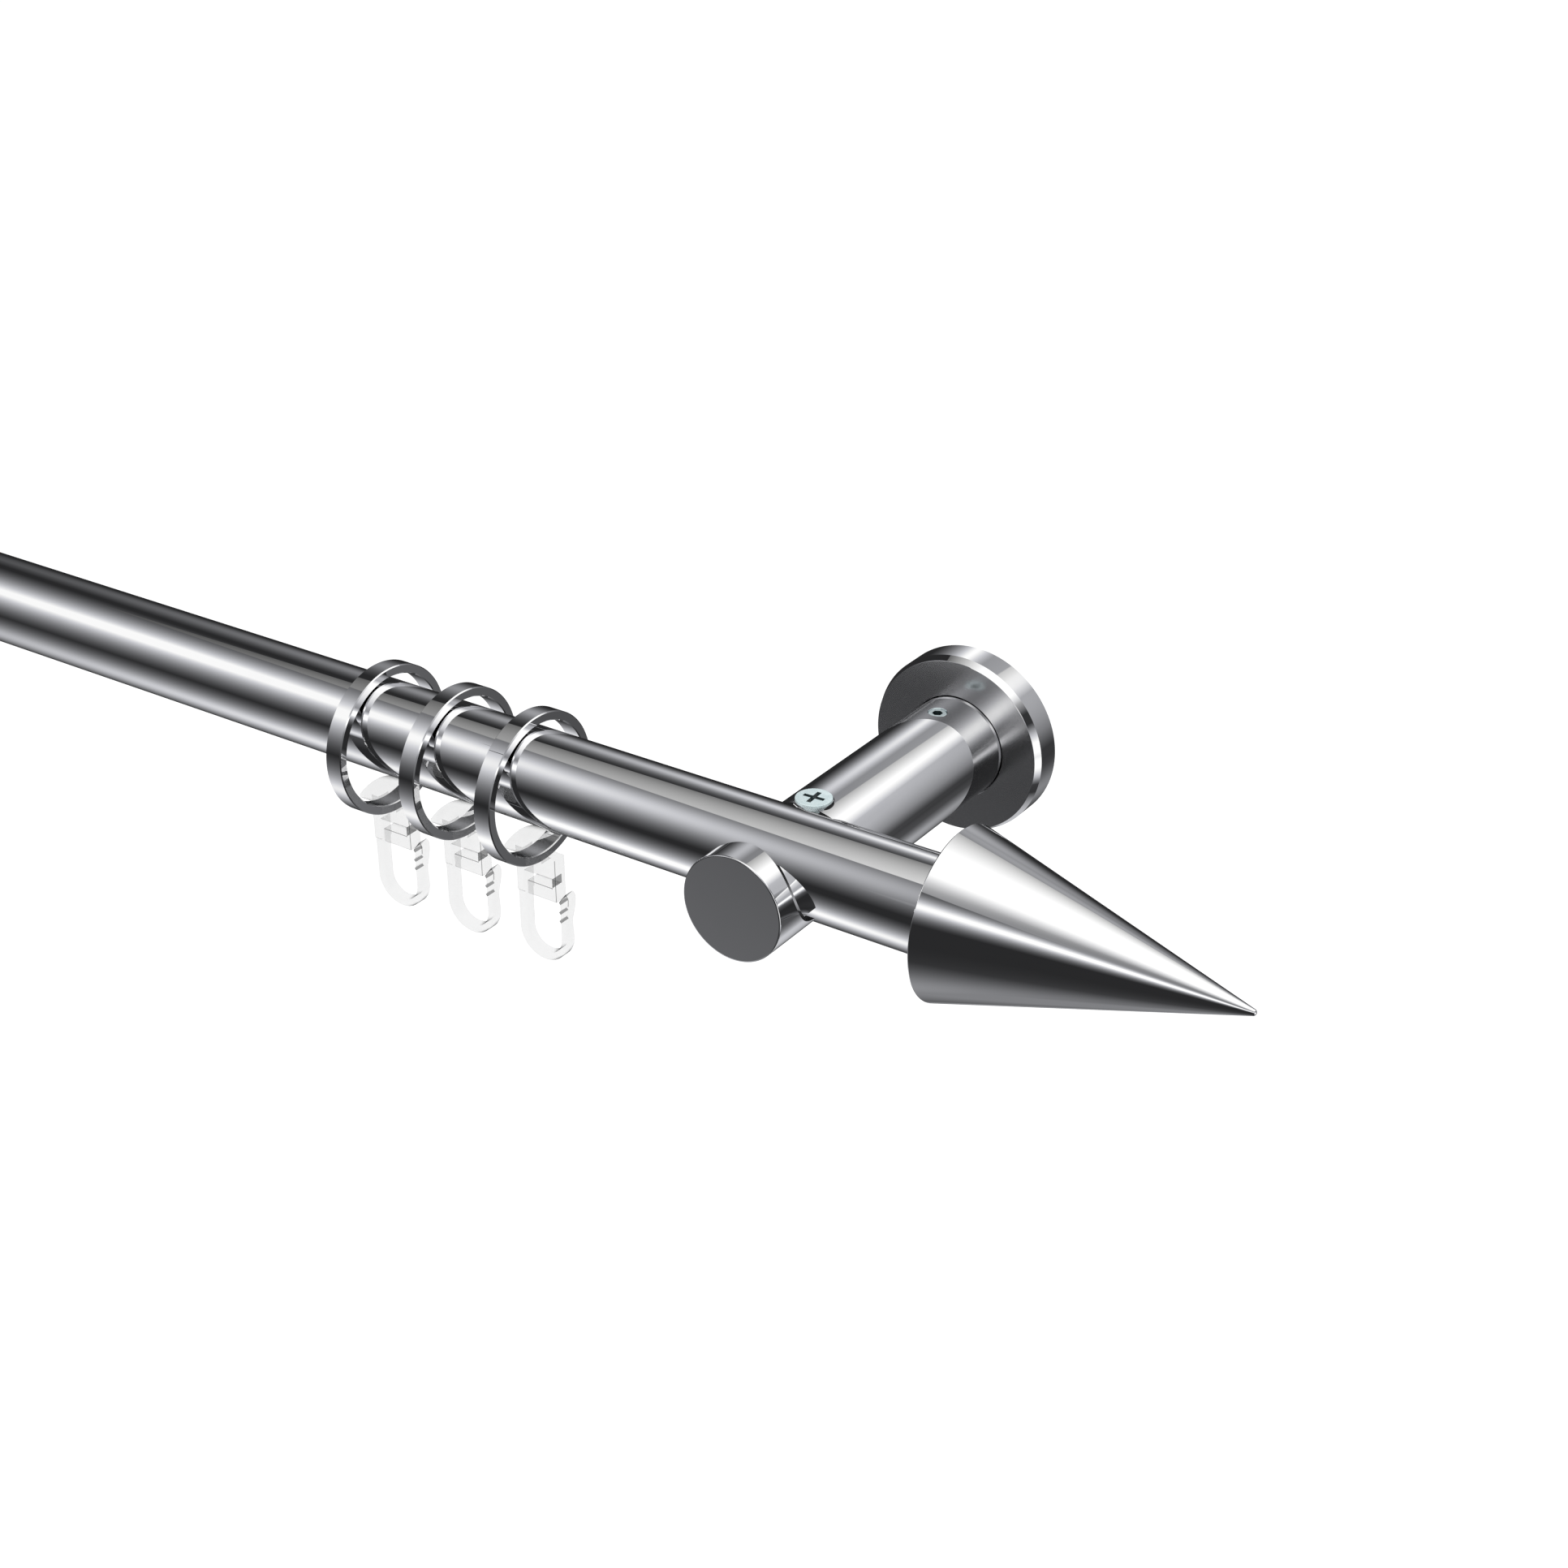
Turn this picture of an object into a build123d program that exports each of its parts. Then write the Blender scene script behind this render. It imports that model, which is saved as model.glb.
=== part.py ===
"""Curtain rod on two wall brackets, with cone finials, rings and clear pleat hooks.

Millimetres. The origin is on the wall, on the axis of the right-hand bracket's arm. +X runs along the rod
to the right-hand finial, +Z is up and the room lies on the -Y side of the wall.
"""
import os
from math import atan2, cos, pi, sin, sqrt

from build123d import *

# Rod
ROD_DIAMETER = 20.0
ROD_WALL = 1.0
ROD_LENGTH = 1200.0
WALL_TO_ROD = 66.8
ROD_BEYOND_BRACKET = 35.3
PILOT_CLEARANCE = 0.3

# Bracket arm: a round bar, slotted across for the rod
ARM_OVER_ROD = 1.0
ARM_BEYOND_ROD = 22.1
ARM_EDGE = 0.35
SEAT_CLEARANCE = 0.05
ENTRY_WIDER = 0.79
ENTRY_FORWARD = 6.56
ENTRY_UP = 5.18
SOCKET_CLEARANCE = 0.1
SOCKET_BEYOND_PEG = 1.6

# Clamp screw: countersunk cross-head, standing in a round recess behind the rod's crown
CLAMP_BEHIND_ROD = 5.65
CLAMP_PROUD = 0.42
CLAMP_HEAD_DIAMETER = 7.4
CLAMP_RIM = 0.55
CLAMP_RIM_EDGE = 0.1
CLAMP_SHANK_DIAMETER = 3.9
CLAMP_LENGTH = 7.8
CLAMP_POINT = 1.6
CLAMP_CLEARANCE = 0.1
CROSS_SPAN = 4.4
CROSS_SLOT = 0.85
CROSS_DEPTH = 1.4
CROSS_TAPER = 7.0
CROSS_TURN = 4.0
RECESS_DIAMETER = 8.0
RECESS_DEPTH = 0.9

# Grub screw: socket set screw that bears on the wall plate's peg
GRUB_BEFORE_WALL = 15.15
GRUB_DIAMETER = 4.0
GRUB_LENGTH = 4.0
GRUB_SUNK = 0.25
GRUB_EDGE = 0.4
GRUB_CLEARANCE = 0.05
HEX_ACROSS_FLATS = 2.0
HEX_DEPTH = 1.8

# Rosette: a bevelled cup over the wall plate
ROSETTE_DIAMETER = 39.4
ROSETTE_DEPTH = 7.5
ROSETTE_BEVEL_WIDTH = 0.7
ROSETTE_BEVEL_DEPTH = 1.75
ROSETTE_FRONT_WALL = 1.6
ROSETTE_SIDE_WALL = 1.3
ROSETTE_BORE_CLEARANCE = 0.12
ROSETTE_COUNTERSINK = 0.7

# Wall plate and peg
PLATE_THICKNESS = 2.5
PLATE_CLEARANCE = 0.2
SHOULDER_DIAMETER = 18.4
SHOULDER_LENGTH = 3.1
PEG_DIAMETER = 15.8
PEG_LENGTH = 18.4
PEG_EDGE = 0.8
GROOVE_CLEARANCE = 0.05
PLATE_HOLE_DIAMETER = 4.5
PLATE_HOLE_SPACING = 27.4

# Finial: a cone on a ribbed plug
CONE_DIAMETER = 34.8
CONE_LENGTH = 62.4
CONE_NOSE = 0.68
CONE_EDGE = 0.25
PLUG_CLEARANCE = 0.05
PLUG_RIB_HEIGHT = 1.1
PLUG_RIB_WIDTH = 3.0
PLUG_GROOVE_WIDTH = 3.0
PLUG_RIBS = 4
PIN_DIAMETER = 8.0
PIN_LENGTH = 12.0
PIN_CLEARANCE = 0.05
PIN_HOLE_BEYOND = 1.0

# Rings: flat bands that hang on the rod, set back a little from hanging plumb
RING_DIAMETER = 33.4
RING_BAND = 2.05
RING_WIDTH = 4.2
RING_EDGE = 0.22
RING_HANGING_GAP = 0.3
RING_SET_BACK = 1.5
RING_PITCH = 20.1
RINGS = 3
LAST_RING_FROM_BRACKET = 66.4

# Hook head: a clip round the ring's band, with a latch below it
CLIP_CLEARANCE = 0.2
CLIP_SIDE_CLEARANCE = 0.38
HEAD_THICKNESS = 3.3
HEAD_REACH = 6.05
BAR_HEIGHT = 2.9
CHEEK_HEIGHT = 1.95
WINDOW_HEIGHT = 2.1
LATCH_HEIGHT = 3.15
LATCH_GAP = 0.95
LATCH_STEM = 0.95
SADDLE_HALF_LENGTH = 5.2
SADDLE_MIDDLE = 3.05
SADDLE_TIP = 0.8

# Hook loop: two legs joined by a round bend, the free leg with a barbed tip
LEG_THICKNESS = 2.6
LEG_WIDTH = 1.92
FREE_LEG_WIDTH = 1.5
LOOP_DROP = 8.95
BEND_DIAMETER = 12.6
WAIST = 0.2
WAIST_RISE = 4.0
TIP_FLARE = 0.75
TIP_ABOVE_FOOT = 2.35
TIP_ROUND_WIDTH = 0.85
TIP_ROUND_HEIGHT = 1.3
BARB_DEPTH = 0.35
BARB_HEIGHT = 0.5
TOOTH_DEPTH = 0.45
TOOTH_HEIGHT = 0.9
TOOTH_DROPS = (2.4, 4.5)

# Places worked out from the sizes
ROD_RADIUS = ROD_DIAMETER / 2
ROD_BORE = ROD_RADIUS - ROD_WALL
ROD_Y = -WALL_TO_ROD
RIGHT_END = ROD_BEYOND_BRACKET
LEFT_END = RIGHT_END - ROD_LENGTH
BRACKETS = {"right": 0.0, "left": LEFT_END + ROD_BEYOND_BRACKET}
FINIALS = {"right": (RIGHT_END, 1), "left": (LEFT_END, -1)}
ARM_RADIUS = ROD_RADIUS + ARM_OVER_ROD
ARM_BACK = -(PLATE_THICKNESS + SHOULDER_LENGTH)
ARM_FRONT = ROD_Y - ARM_BEYOND_ROD
SEAT_RADIUS = ROD_RADIUS + SEAT_CLEARANCE
CLAMP_Y = ROD_Y + CLAMP_BEHIND_ROD
CLAMP_TOP = ARM_RADIUS + CLAMP_PROUD
CLAMP_RADIUS = CLAMP_HEAD_DIAMETER / 2
CLAMP_SHANK = CLAMP_SHANK_DIAMETER / 2
CLAMP_HOLE = CLAMP_SHANK + CLAMP_CLEARANCE
CLAMP_CONE_TOP = CLAMP_TOP - CLAMP_RIM
CLAMP_CONE_FOOT = CLAMP_CONE_TOP - (CLAMP_RADIUS - CLAMP_SHANK)
CLAMP_END = CLAMP_TOP - CLAMP_LENGTH
RECESS_FLOOR = ARM_RADIUS - RECESS_DEPTH
GRUB_Y = -GRUB_BEFORE_WALL
GRUB_TOP = ARM_RADIUS - GRUB_SUNK
GRUB_END = GRUB_TOP - GRUB_LENGTH
PEG_RADIUS = PEG_DIAMETER / 2
PEG_END = ARM_BACK - PEG_LENGTH
GROOVE_RADIUS = GRUB_END - GROOVE_CLEARANCE
PLUG_RADIUS = ROD_BORE - PLUG_CLEARANCE
PLUG_CORE = PLUG_RADIUS - PLUG_RIB_HEIGHT
RING_RADIUS = RING_DIAMETER / 2
RING_BORE = RING_RADIUS - RING_BAND
RING_Y = ROD_Y + RING_SET_BACK
RING_Z = -sqrt((RING_BORE - ROD_RADIUS - RING_HANGING_GAP) ** 2 - RING_SET_BACK**2)
RING_XS = [-LAST_RING_FROM_BRACKET - RING_PITCH * n for n in reversed(range(RINGS))]


def across(x):
    """The plane square to the rod at x, with +Y to the right and +Z up."""
    return Plane.YZ.offset(x)


def upright(y):
    """The plane along the rod at y, with +X to the right and +Z up."""
    return Plane.XZ.offset(-y)


def level(z):
    """The level plane at height z."""
    return Plane.XY.offset(z)


def build_rod():
    """The tube, with a pilot hole through its upper wall under each clamp screw."""
    with BuildPart() as rod:
        with BuildSketch(across(LEFT_END)):
            with Locations((ROD_Y, 0)):
                Circle(ROD_RADIUS)
                Circle(ROD_BORE, mode=Mode.SUBTRACT)
        extrude(amount=ROD_LENGTH)
        with BuildSketch(level(CLAMP_END)):
            with Locations(*[(x, CLAMP_Y) for x in BRACKETS.values()]):
                Circle(CLAMP_SHANK + PILOT_CLEARANCE)
        extrude(amount=ROD_RADIUS, mode=Mode.SUBTRACT)
    rod.part.label = "rod"
    export_step(rod.part, "parts/rod.step")


def build_arm(side):
    """The bar with its slot for the rod, its socket for the peg and its two screw holes."""
    x = BRACKETS[side]
    with BuildPart() as arm:
        with BuildSketch(upright(ARM_BACK)):
            with Locations((x, 0)):
                Circle(ARM_RADIUS)
        extrude(amount=ARM_BACK - ARM_FRONT)
        chamfer(arm.faces().sort_by(Axis.Y)[0].edges(), ARM_EDGE)

        # The rod lies in its seat; the wider bore in front of it lets the rod in from above
        with BuildSketch(across(x - 2 * ARM_RADIUS)):
            with Locations((ROD_Y, 0)):
                Circle(SEAT_RADIUS)
            with Locations((ROD_Y - ENTRY_FORWARD, ENTRY_UP)):
                Circle(SEAT_RADIUS + ENTRY_WIDER)
        extrude(amount=4 * ARM_RADIUS, mode=Mode.SUBTRACT)

        with BuildSketch(upright(ARM_BACK)):
            with Locations((x, 0)):
                Circle(PEG_RADIUS + SOCKET_CLEARANCE)
        extrude(amount=PEG_LENGTH + SOCKET_BEYOND_PEG, mode=Mode.SUBTRACT)

        # Clamp screw's recess, countersink and hole
        with BuildSketch(upright(CLAMP_Y)):
            with BuildLine():
                Polyline(
                    (x, 0),
                    (x + CLAMP_HOLE, 0),
                    (x + CLAMP_HOLE, CLAMP_CONE_FOOT),
                    (x + CLAMP_HOLE + RECESS_FLOOR - CLAMP_CONE_FOOT, RECESS_FLOOR),
                    (x + RECESS_DIAMETER / 2, RECESS_FLOOR),
                    (x + RECESS_DIAMETER / 2, 2 * ARM_RADIUS),
                    (x, 2 * ARM_RADIUS),
                    close=True,
                )
            make_face()
        revolve(axis=Axis((x, CLAMP_Y, 0), (0, 0, 1)), mode=Mode.SUBTRACT)

        with BuildSketch(level(0)):
            with Locations((x, GRUB_Y)):
                Circle(GRUB_DIAMETER / 2 + GRUB_CLEARANCE)
        extrude(amount=2 * ARM_RADIUS, mode=Mode.SUBTRACT)
    arm.part.label = "arm_" + side
    export_step(arm.part, "parts/arm_" + side + ".step")


def build_clamp_screw(side):
    """A countersunk screw with a thin rim, a cross recess and a pointed end."""
    x = BRACKETS[side]
    turn = CROSS_TURN * pi / 180
    with BuildPart() as screw:
        with BuildSketch(upright(CLAMP_Y)):
            with BuildLine():
                Polyline(
                    (x, CLAMP_END),
                    (x + CLAMP_SHANK, CLAMP_END + CLAMP_POINT),
                    (x + CLAMP_SHANK, CLAMP_CONE_FOOT),
                    (x + CLAMP_RADIUS, CLAMP_CONE_TOP),
                    (x + CLAMP_RADIUS, CLAMP_TOP - CLAMP_RIM_EDGE),
                    (x + CLAMP_RADIUS - CLAMP_RIM_EDGE, CLAMP_TOP),
                    (x, CLAMP_TOP),
                    close=True,
                )
            make_face()
        revolve(axis=Axis((x, CLAMP_Y, 0), (0, 0, 1)))
        with BuildSketch(Plane((x, CLAMP_Y, CLAMP_TOP), (cos(turn), sin(turn), 0), (0, 0, -1))):
            Rectangle(CROSS_SPAN, CROSS_SLOT)
            Rectangle(CROSS_SLOT, CROSS_SPAN)
        extrude(amount=CROSS_DEPTH, taper=CROSS_TAPER, mode=Mode.SUBTRACT)
    screw.part.label = "clamp_screw_" + side
    export_step(screw.part, "parts/clamp_screw_" + side + ".step")


def build_grub_screw(side):
    """A headless screw with a hex socket above and bevelled ends."""
    x = BRACKETS[side]
    with BuildPart() as grub:
        with BuildSketch(level(GRUB_END)):
            with Locations((x, GRUB_Y)):
                Circle(GRUB_DIAMETER / 2)
        extrude(amount=GRUB_LENGTH)
        chamfer(grub.edges().filter_by(GeomType.CIRCLE), GRUB_EDGE)
        with BuildSketch(level(GRUB_TOP - HEX_DEPTH)):
            with Locations((x, GRUB_Y)):
                RegularPolygon(HEX_ACROSS_FLATS / 2, 6, major_radius=False)
        extrude(amount=HEX_DEPTH, mode=Mode.SUBTRACT)
    grub.part.label = "grub_screw_" + side
    export_step(grub.part, "parts/grub_screw_" + side + ".step")


def build_rosette(side):
    """The cup that hides the wall plate, bored and countersunk for the arm."""
    x = BRACKETS[side]
    rim = x + ROSETTE_DIAMETER / 2
    bore = x + ARM_RADIUS + ROSETTE_BORE_CLEARANCE
    with BuildPart() as rosette:
        with BuildSketch(Plane.XY):
            with BuildLine():
                Polyline(
                    (bore + ROSETTE_COUNTERSINK, -ROSETTE_DEPTH),
                    (rim - ROSETTE_BEVEL_WIDTH, -ROSETTE_DEPTH),
                    (rim, -ROSETTE_DEPTH + ROSETTE_BEVEL_DEPTH),
                    (rim, 0),
                    (rim - ROSETTE_SIDE_WALL, 0),
                    (rim - ROSETTE_SIDE_WALL, -ROSETTE_DEPTH + ROSETTE_FRONT_WALL),
                    (bore, -ROSETTE_DEPTH + ROSETTE_FRONT_WALL),
                    (bore, -ROSETTE_DEPTH + ROSETTE_COUNTERSINK),
                    close=True,
                )
            make_face()
        revolve(axis=Axis((x, 0, 0), (0, 1, 0)))
    rosette.part.label = "rosette_" + side
    export_step(rosette.part, "parts/rosette_" + side + ".step")


def build_wall_plate(side):
    """The disc that is screwed to the wall, with the grooved peg that carries the arm."""
    x = BRACKETS[side]
    rim = x + ROSETTE_DIAMETER / 2 - ROSETTE_SIDE_WALL - PLATE_CLEARANCE
    groove_half = GRUB_DIAMETER / 2
    groove_slope = PEG_RADIUS - GROOVE_RADIUS
    with BuildPart() as plate:
        with BuildSketch(Plane.XY):
            with BuildLine():
                Polyline(
                    (x, 0),
                    (rim, 0),
                    (rim, -PLATE_THICKNESS),
                    (x + SHOULDER_DIAMETER / 2, -PLATE_THICKNESS),
                    (x + SHOULDER_DIAMETER / 2, ARM_BACK),
                    (x + PEG_RADIUS, ARM_BACK),
                    (x + PEG_RADIUS, GRUB_Y + groove_half + groove_slope),
                    (x + GROOVE_RADIUS, GRUB_Y + groove_half),
                    (x + GROOVE_RADIUS, GRUB_Y - groove_half),
                    (x + PEG_RADIUS, GRUB_Y - groove_half - groove_slope),
                    (x + PEG_RADIUS, PEG_END + PEG_EDGE),
                    (x + PEG_RADIUS - PEG_EDGE, PEG_END),
                    (x, PEG_END),
                    close=True,
                )
            make_face()
        revolve(axis=Axis((x, 0, 0), (0, 1, 0)))
        with BuildSketch(upright(0)):
            with Locations((x, PLATE_HOLE_SPACING / 2), (x, -PLATE_HOLE_SPACING / 2)):
                Circle(PLATE_HOLE_DIAMETER / 2)
        extrude(amount=PLATE_THICKNESS, mode=Mode.SUBTRACT)
    plate.part.label = "wall_plate_" + side
    export_step(plate.part, "parts/wall_plate_" + side + ".step")


def build_cone(side):
    """The pointed finial, with a round nose and a blind hole in its base for the plug's pin."""
    end, out = FINIALS[side]
    base = CONE_DIAMETER / 2
    hole = PIN_DIAMETER / 2 + PIN_CLEARANCE
    hole_depth = PIN_LENGTH + PIN_HOLE_BEYOND
    half_angle = atan2(base, CONE_LENGTH)
    nose = CONE_LENGTH - CONE_NOSE / sin(half_angle)
    nose_turn = (pi / 2 - half_angle) / 2
    meeting = (end + out * (nose + CONE_NOSE * sin(half_angle)), CONE_NOSE * cos(half_angle))
    with BuildPart() as cone:
        with BuildSketch(upright(ROD_Y)):
            with BuildLine():
                Polyline(
                    (end + out * (nose + CONE_NOSE), 0),
                    (end + out * hole_depth, 0),
                    (end + out * hole_depth, hole),
                    (end, hole),
                    (end, base - CONE_EDGE),
                    (end + out * CONE_EDGE, base - CONE_EDGE * base / CONE_LENGTH),
                    meeting,
                )
                ThreePointArc(
                    meeting,
                    (end + out * (nose + CONE_NOSE * cos(nose_turn)), CONE_NOSE * sin(nose_turn)),
                    (end + out * (nose + CONE_NOSE), 0),
                )
            make_face()
        revolve(axis=Axis((0, ROD_Y, 0), (1, 0, 0)))
    cone.part.label = "cone_" + side
    export_step(cone.part, "parts/cone_" + side + ".step")


def build_plug(side):
    """The ribbed plug that holds a finial in the end of the tube, with its pin into the cone."""
    end, out = FINIALS[side]
    pin = PIN_DIAMETER / 2
    profile = [(end + out * PIN_LENGTH, 0), (end + out * PIN_LENGTH, pin), (end, pin)]
    for rib in range(PLUG_RIBS):
        start = end - out * rib * (PLUG_RIB_WIDTH + PLUG_GROOVE_WIDTH)
        stop = start - out * PLUG_RIB_WIDTH
        profile += [(start, PLUG_RADIUS), (stop, PLUG_RADIUS)]
        profile += [(stop, PLUG_CORE), (stop - out * PLUG_GROOVE_WIDTH, PLUG_CORE)]
    profile.append((end - out * PLUG_RIBS * (PLUG_RIB_WIDTH + PLUG_GROOVE_WIDTH), 0))
    with BuildPart() as plug:
        with BuildSketch(upright(ROD_Y)):
            with BuildLine():
                Polyline(*profile, close=True)
            make_face()
        revolve(axis=Axis((0, ROD_Y, 0), (1, 0, 0)))
    plug.part.label = "plug_" + side
    export_step(plug.part, "parts/plug_" + side + ".step")


def build_ring(number):
    """A flat band with bevelled edges that hangs on the rod."""
    with BuildPart() as ring:
        with BuildSketch(across(RING_XS[number - 1] - RING_WIDTH / 2)):
            with Locations((RING_Y, RING_Z)):
                Circle(RING_RADIUS)
                Circle(RING_BORE, mode=Mode.SUBTRACT)
        extrude(amount=RING_WIDTH)
        chamfer(ring.edges().filter_by(GeomType.CIRCLE), RING_EDGE)
    ring.part.label = "ring_" + str(number)
    export_step(ring.part, "parts/ring_" + str(number) + ".step")


def build_hook(number):
    """A pleat hook: a clip on the ring's band, a latch below it and a loop with a barbed free leg."""
    x = RING_XS[number - 1]
    leg_inner = x - RING_WIDTH / 2 - CLIP_SIDE_CLEARANCE
    leg_outer = leg_inner - LEG_WIDTH
    cheek = x + RING_WIDTH / 2 + CLIP_SIDE_CLEARANCE
    reach = x + HEAD_REACH
    saddle_top = RING_Z - RING_BORE + CLIP_CLEARANCE + SADDLE_MIDDLE
    bar_top = RING_Z - RING_RADIUS - CLIP_CLEARANCE
    bar_foot = bar_top - BAR_HEIGHT
    latch_top = bar_foot - WINDOW_HEIGHT
    foot = latch_top - LATCH_HEIGHT
    bend = foot - LOOP_DROP
    free_outer = leg_outer + BEND_DIAMETER
    free_inner = free_outer - FREE_LEG_WIDTH
    inner_middle = (leg_inner + free_inner) / 2
    tip_top = foot + TIP_ABOVE_FOOT
    tip_side = (free_outer + TIP_FLARE, tip_top - TIP_ROUND_HEIGHT)
    tip_crown = (tip_side[0] - TIP_ROUND_WIDTH, tip_top)
    inside = [tip_crown, (free_inner - BARB_DEPTH, foot), (free_inner, foot - BARB_HEIGHT)]
    for drop in TOOTH_DROPS:
        inside.append((free_inner, foot - drop + TOOTH_HEIGHT / 2))
        inside.append((free_inner - TOOTH_DEPTH, foot - drop))
        inside.append((free_inner, foot - drop - TOOTH_HEIGHT / 2))
    inside.append((free_inner, bend))
    with BuildPart() as hook:
        # The loop, from the leg under the head round the bend to the barbed tip and back
        with BuildSketch(upright(RING_Y)):
            with BuildLine():
                Polyline((leg_inner, bend), (leg_inner, foot), (leg_outer, foot), (leg_outer, bend))
                ThreePointArc(
                    (leg_outer, bend),
                    ((leg_outer + free_outer) / 2, bend - BEND_DIAMETER / 2),
                    (free_outer, bend),
                )
                Spline(
                    (free_outer, bend),
                    (free_outer - WAIST, bend + WAIST_RISE),
                    tip_side,
                    tangents=[(0, 1), (0, 1)],
                )
                ThreePointArc(
                    tip_side,
                    (
                        tip_crown[0] + TIP_ROUND_WIDTH * sin(pi / 4),
                        tip_side[1] + TIP_ROUND_HEIGHT * sin(pi / 4),
                    ),
                    tip_crown,
                )
                Polyline(*inside)
                ThreePointArc(
                    (free_inner, bend),
                    (inner_middle, bend - (free_inner - leg_inner) / 2),
                    (leg_inner, bend),
                )
            make_face()
        extrude(amount=LEG_THICKNESS / 2, both=True)

        # The head: the leg's upper part, the bar and cheek under the band, and the latch
        with BuildSketch(upright(RING_Y)):
            with BuildLine():
                Polyline(
                    (leg_outer, foot),
                    (leg_inner, foot),
                    (leg_inner, bar_foot),
                    (reach - LATCH_STEM, bar_foot),
                    (reach - LATCH_STEM, latch_top),
                    (leg_inner + LATCH_GAP, latch_top),
                    (leg_inner + LATCH_GAP, foot),
                    (reach, foot),
                    (reach, bar_top + CHEEK_HEIGHT),
                    (cheek, bar_top + CHEEK_HEIGHT),
                    (cheek, bar_top),
                    (leg_inner, bar_top),
                    (leg_inner, saddle_top - SADDLE_TIP),
                    (leg_outer, saddle_top - SADDLE_TIP),
                    close=True,
                )
            make_face()
        extrude(amount=HEAD_THICKNESS / 2, both=True)

        # The saddle inside the band, its underside round the ring's own axis
        under = RING_BORE - CLIP_CLEARANCE
        front = RING_Y - SADDLE_HALF_LENGTH
        back = RING_Y + SADDLE_HALF_LENGTH
        tip = RING_Z - sqrt(under**2 - SADDLE_HALF_LENGTH**2)
        with BuildSketch(across(leg_outer)):
            with BuildLine():
                ThreePointArc((front, tip), (RING_Y, RING_Z - under), (back, tip))
                Line((back, tip), (back, tip + SADDLE_TIP))
                ThreePointArc((back, tip + SADDLE_TIP), (RING_Y, saddle_top), (front, tip + SADDLE_TIP))
                Line((front, tip + SADDLE_TIP), (front, tip))
            make_face()
        extrude(amount=cheek - leg_outer)
    hook.part.label = "hook_" + str(number)
    export_step(hook.part, "parts/hook_" + str(number) + ".step")


os.makedirs("parts", exist_ok=True)
build_rod()
for bracket in BRACKETS:
    build_arm(bracket)
    build_clamp_screw(bracket)
    build_grub_screw(bracket)
    build_rosette(bracket)
    build_wall_plate(bracket)
for finial in FINIALS:
    build_cone(finial)
    build_plug(finial)
for ring_number in range(1, RINGS + 1):
    build_ring(ring_number)
    build_hook(ring_number)
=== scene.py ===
"""The looks of a curtain rod on two wall brackets, with cone finials, rings and clear pleat hooks.

Metres, in the CAD model's frame: the origin is on the wall, on the axis of the right-hand bracket's arm.
+X runs along the rod to the right-hand finial, +Z is up and the room lies on the -Y side of the wall.
"""
import logging
import math
from dataclasses import dataclass, field
from enum import Enum
from typing import Any

import bmesh
import bpy
from mathutils import Matrix, Vector

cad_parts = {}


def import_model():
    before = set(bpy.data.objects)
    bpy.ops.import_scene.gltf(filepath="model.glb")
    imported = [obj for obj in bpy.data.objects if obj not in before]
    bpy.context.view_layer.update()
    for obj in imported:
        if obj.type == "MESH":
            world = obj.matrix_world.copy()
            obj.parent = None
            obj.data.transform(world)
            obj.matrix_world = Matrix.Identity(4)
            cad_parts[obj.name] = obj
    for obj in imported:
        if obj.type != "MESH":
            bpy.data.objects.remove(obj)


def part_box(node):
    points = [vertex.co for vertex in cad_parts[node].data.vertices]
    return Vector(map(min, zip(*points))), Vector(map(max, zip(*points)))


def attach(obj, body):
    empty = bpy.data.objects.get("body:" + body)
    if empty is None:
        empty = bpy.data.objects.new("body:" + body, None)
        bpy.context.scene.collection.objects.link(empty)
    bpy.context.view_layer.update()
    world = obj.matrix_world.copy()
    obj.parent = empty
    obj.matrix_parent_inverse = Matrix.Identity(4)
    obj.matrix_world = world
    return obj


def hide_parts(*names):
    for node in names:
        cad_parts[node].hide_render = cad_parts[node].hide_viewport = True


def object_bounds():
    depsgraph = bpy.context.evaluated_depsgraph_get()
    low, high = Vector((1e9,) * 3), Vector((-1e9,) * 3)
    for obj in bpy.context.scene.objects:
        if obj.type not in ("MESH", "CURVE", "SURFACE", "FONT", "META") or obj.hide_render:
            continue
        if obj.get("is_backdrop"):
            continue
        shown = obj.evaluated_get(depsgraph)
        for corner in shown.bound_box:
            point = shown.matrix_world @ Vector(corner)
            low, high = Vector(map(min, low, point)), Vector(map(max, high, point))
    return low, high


LOG = logging.getLogger("curtain_rod")
MM = 0.001
RING_NUMBERS = (1, 2, 3)
ROUND_STEPS = 320
NEAR = 0.003 * MM
DOUBLES = 1e-7
SAME_PLACE = 1e-8
SQUARE_ON = 0.999
ALONG_ROD = Vector((1.0, 0.0, 0.0))
INTO_WALL = Vector((0.0, 1.0, 0.0))
UP = Vector((0.0, 0.0, 1.0))
Colour = tuple[float, float, float, float]
Settings = dict[str, Any]
Inputs = dict[int | str, Any]
WHITE = (1.0, 1.0, 1.0, 1.0)


class Side(Enum):
    """The rod's two ends, as the CAD nodes' names give them."""

    RIGHT = "right"
    LEFT = "left"


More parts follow.
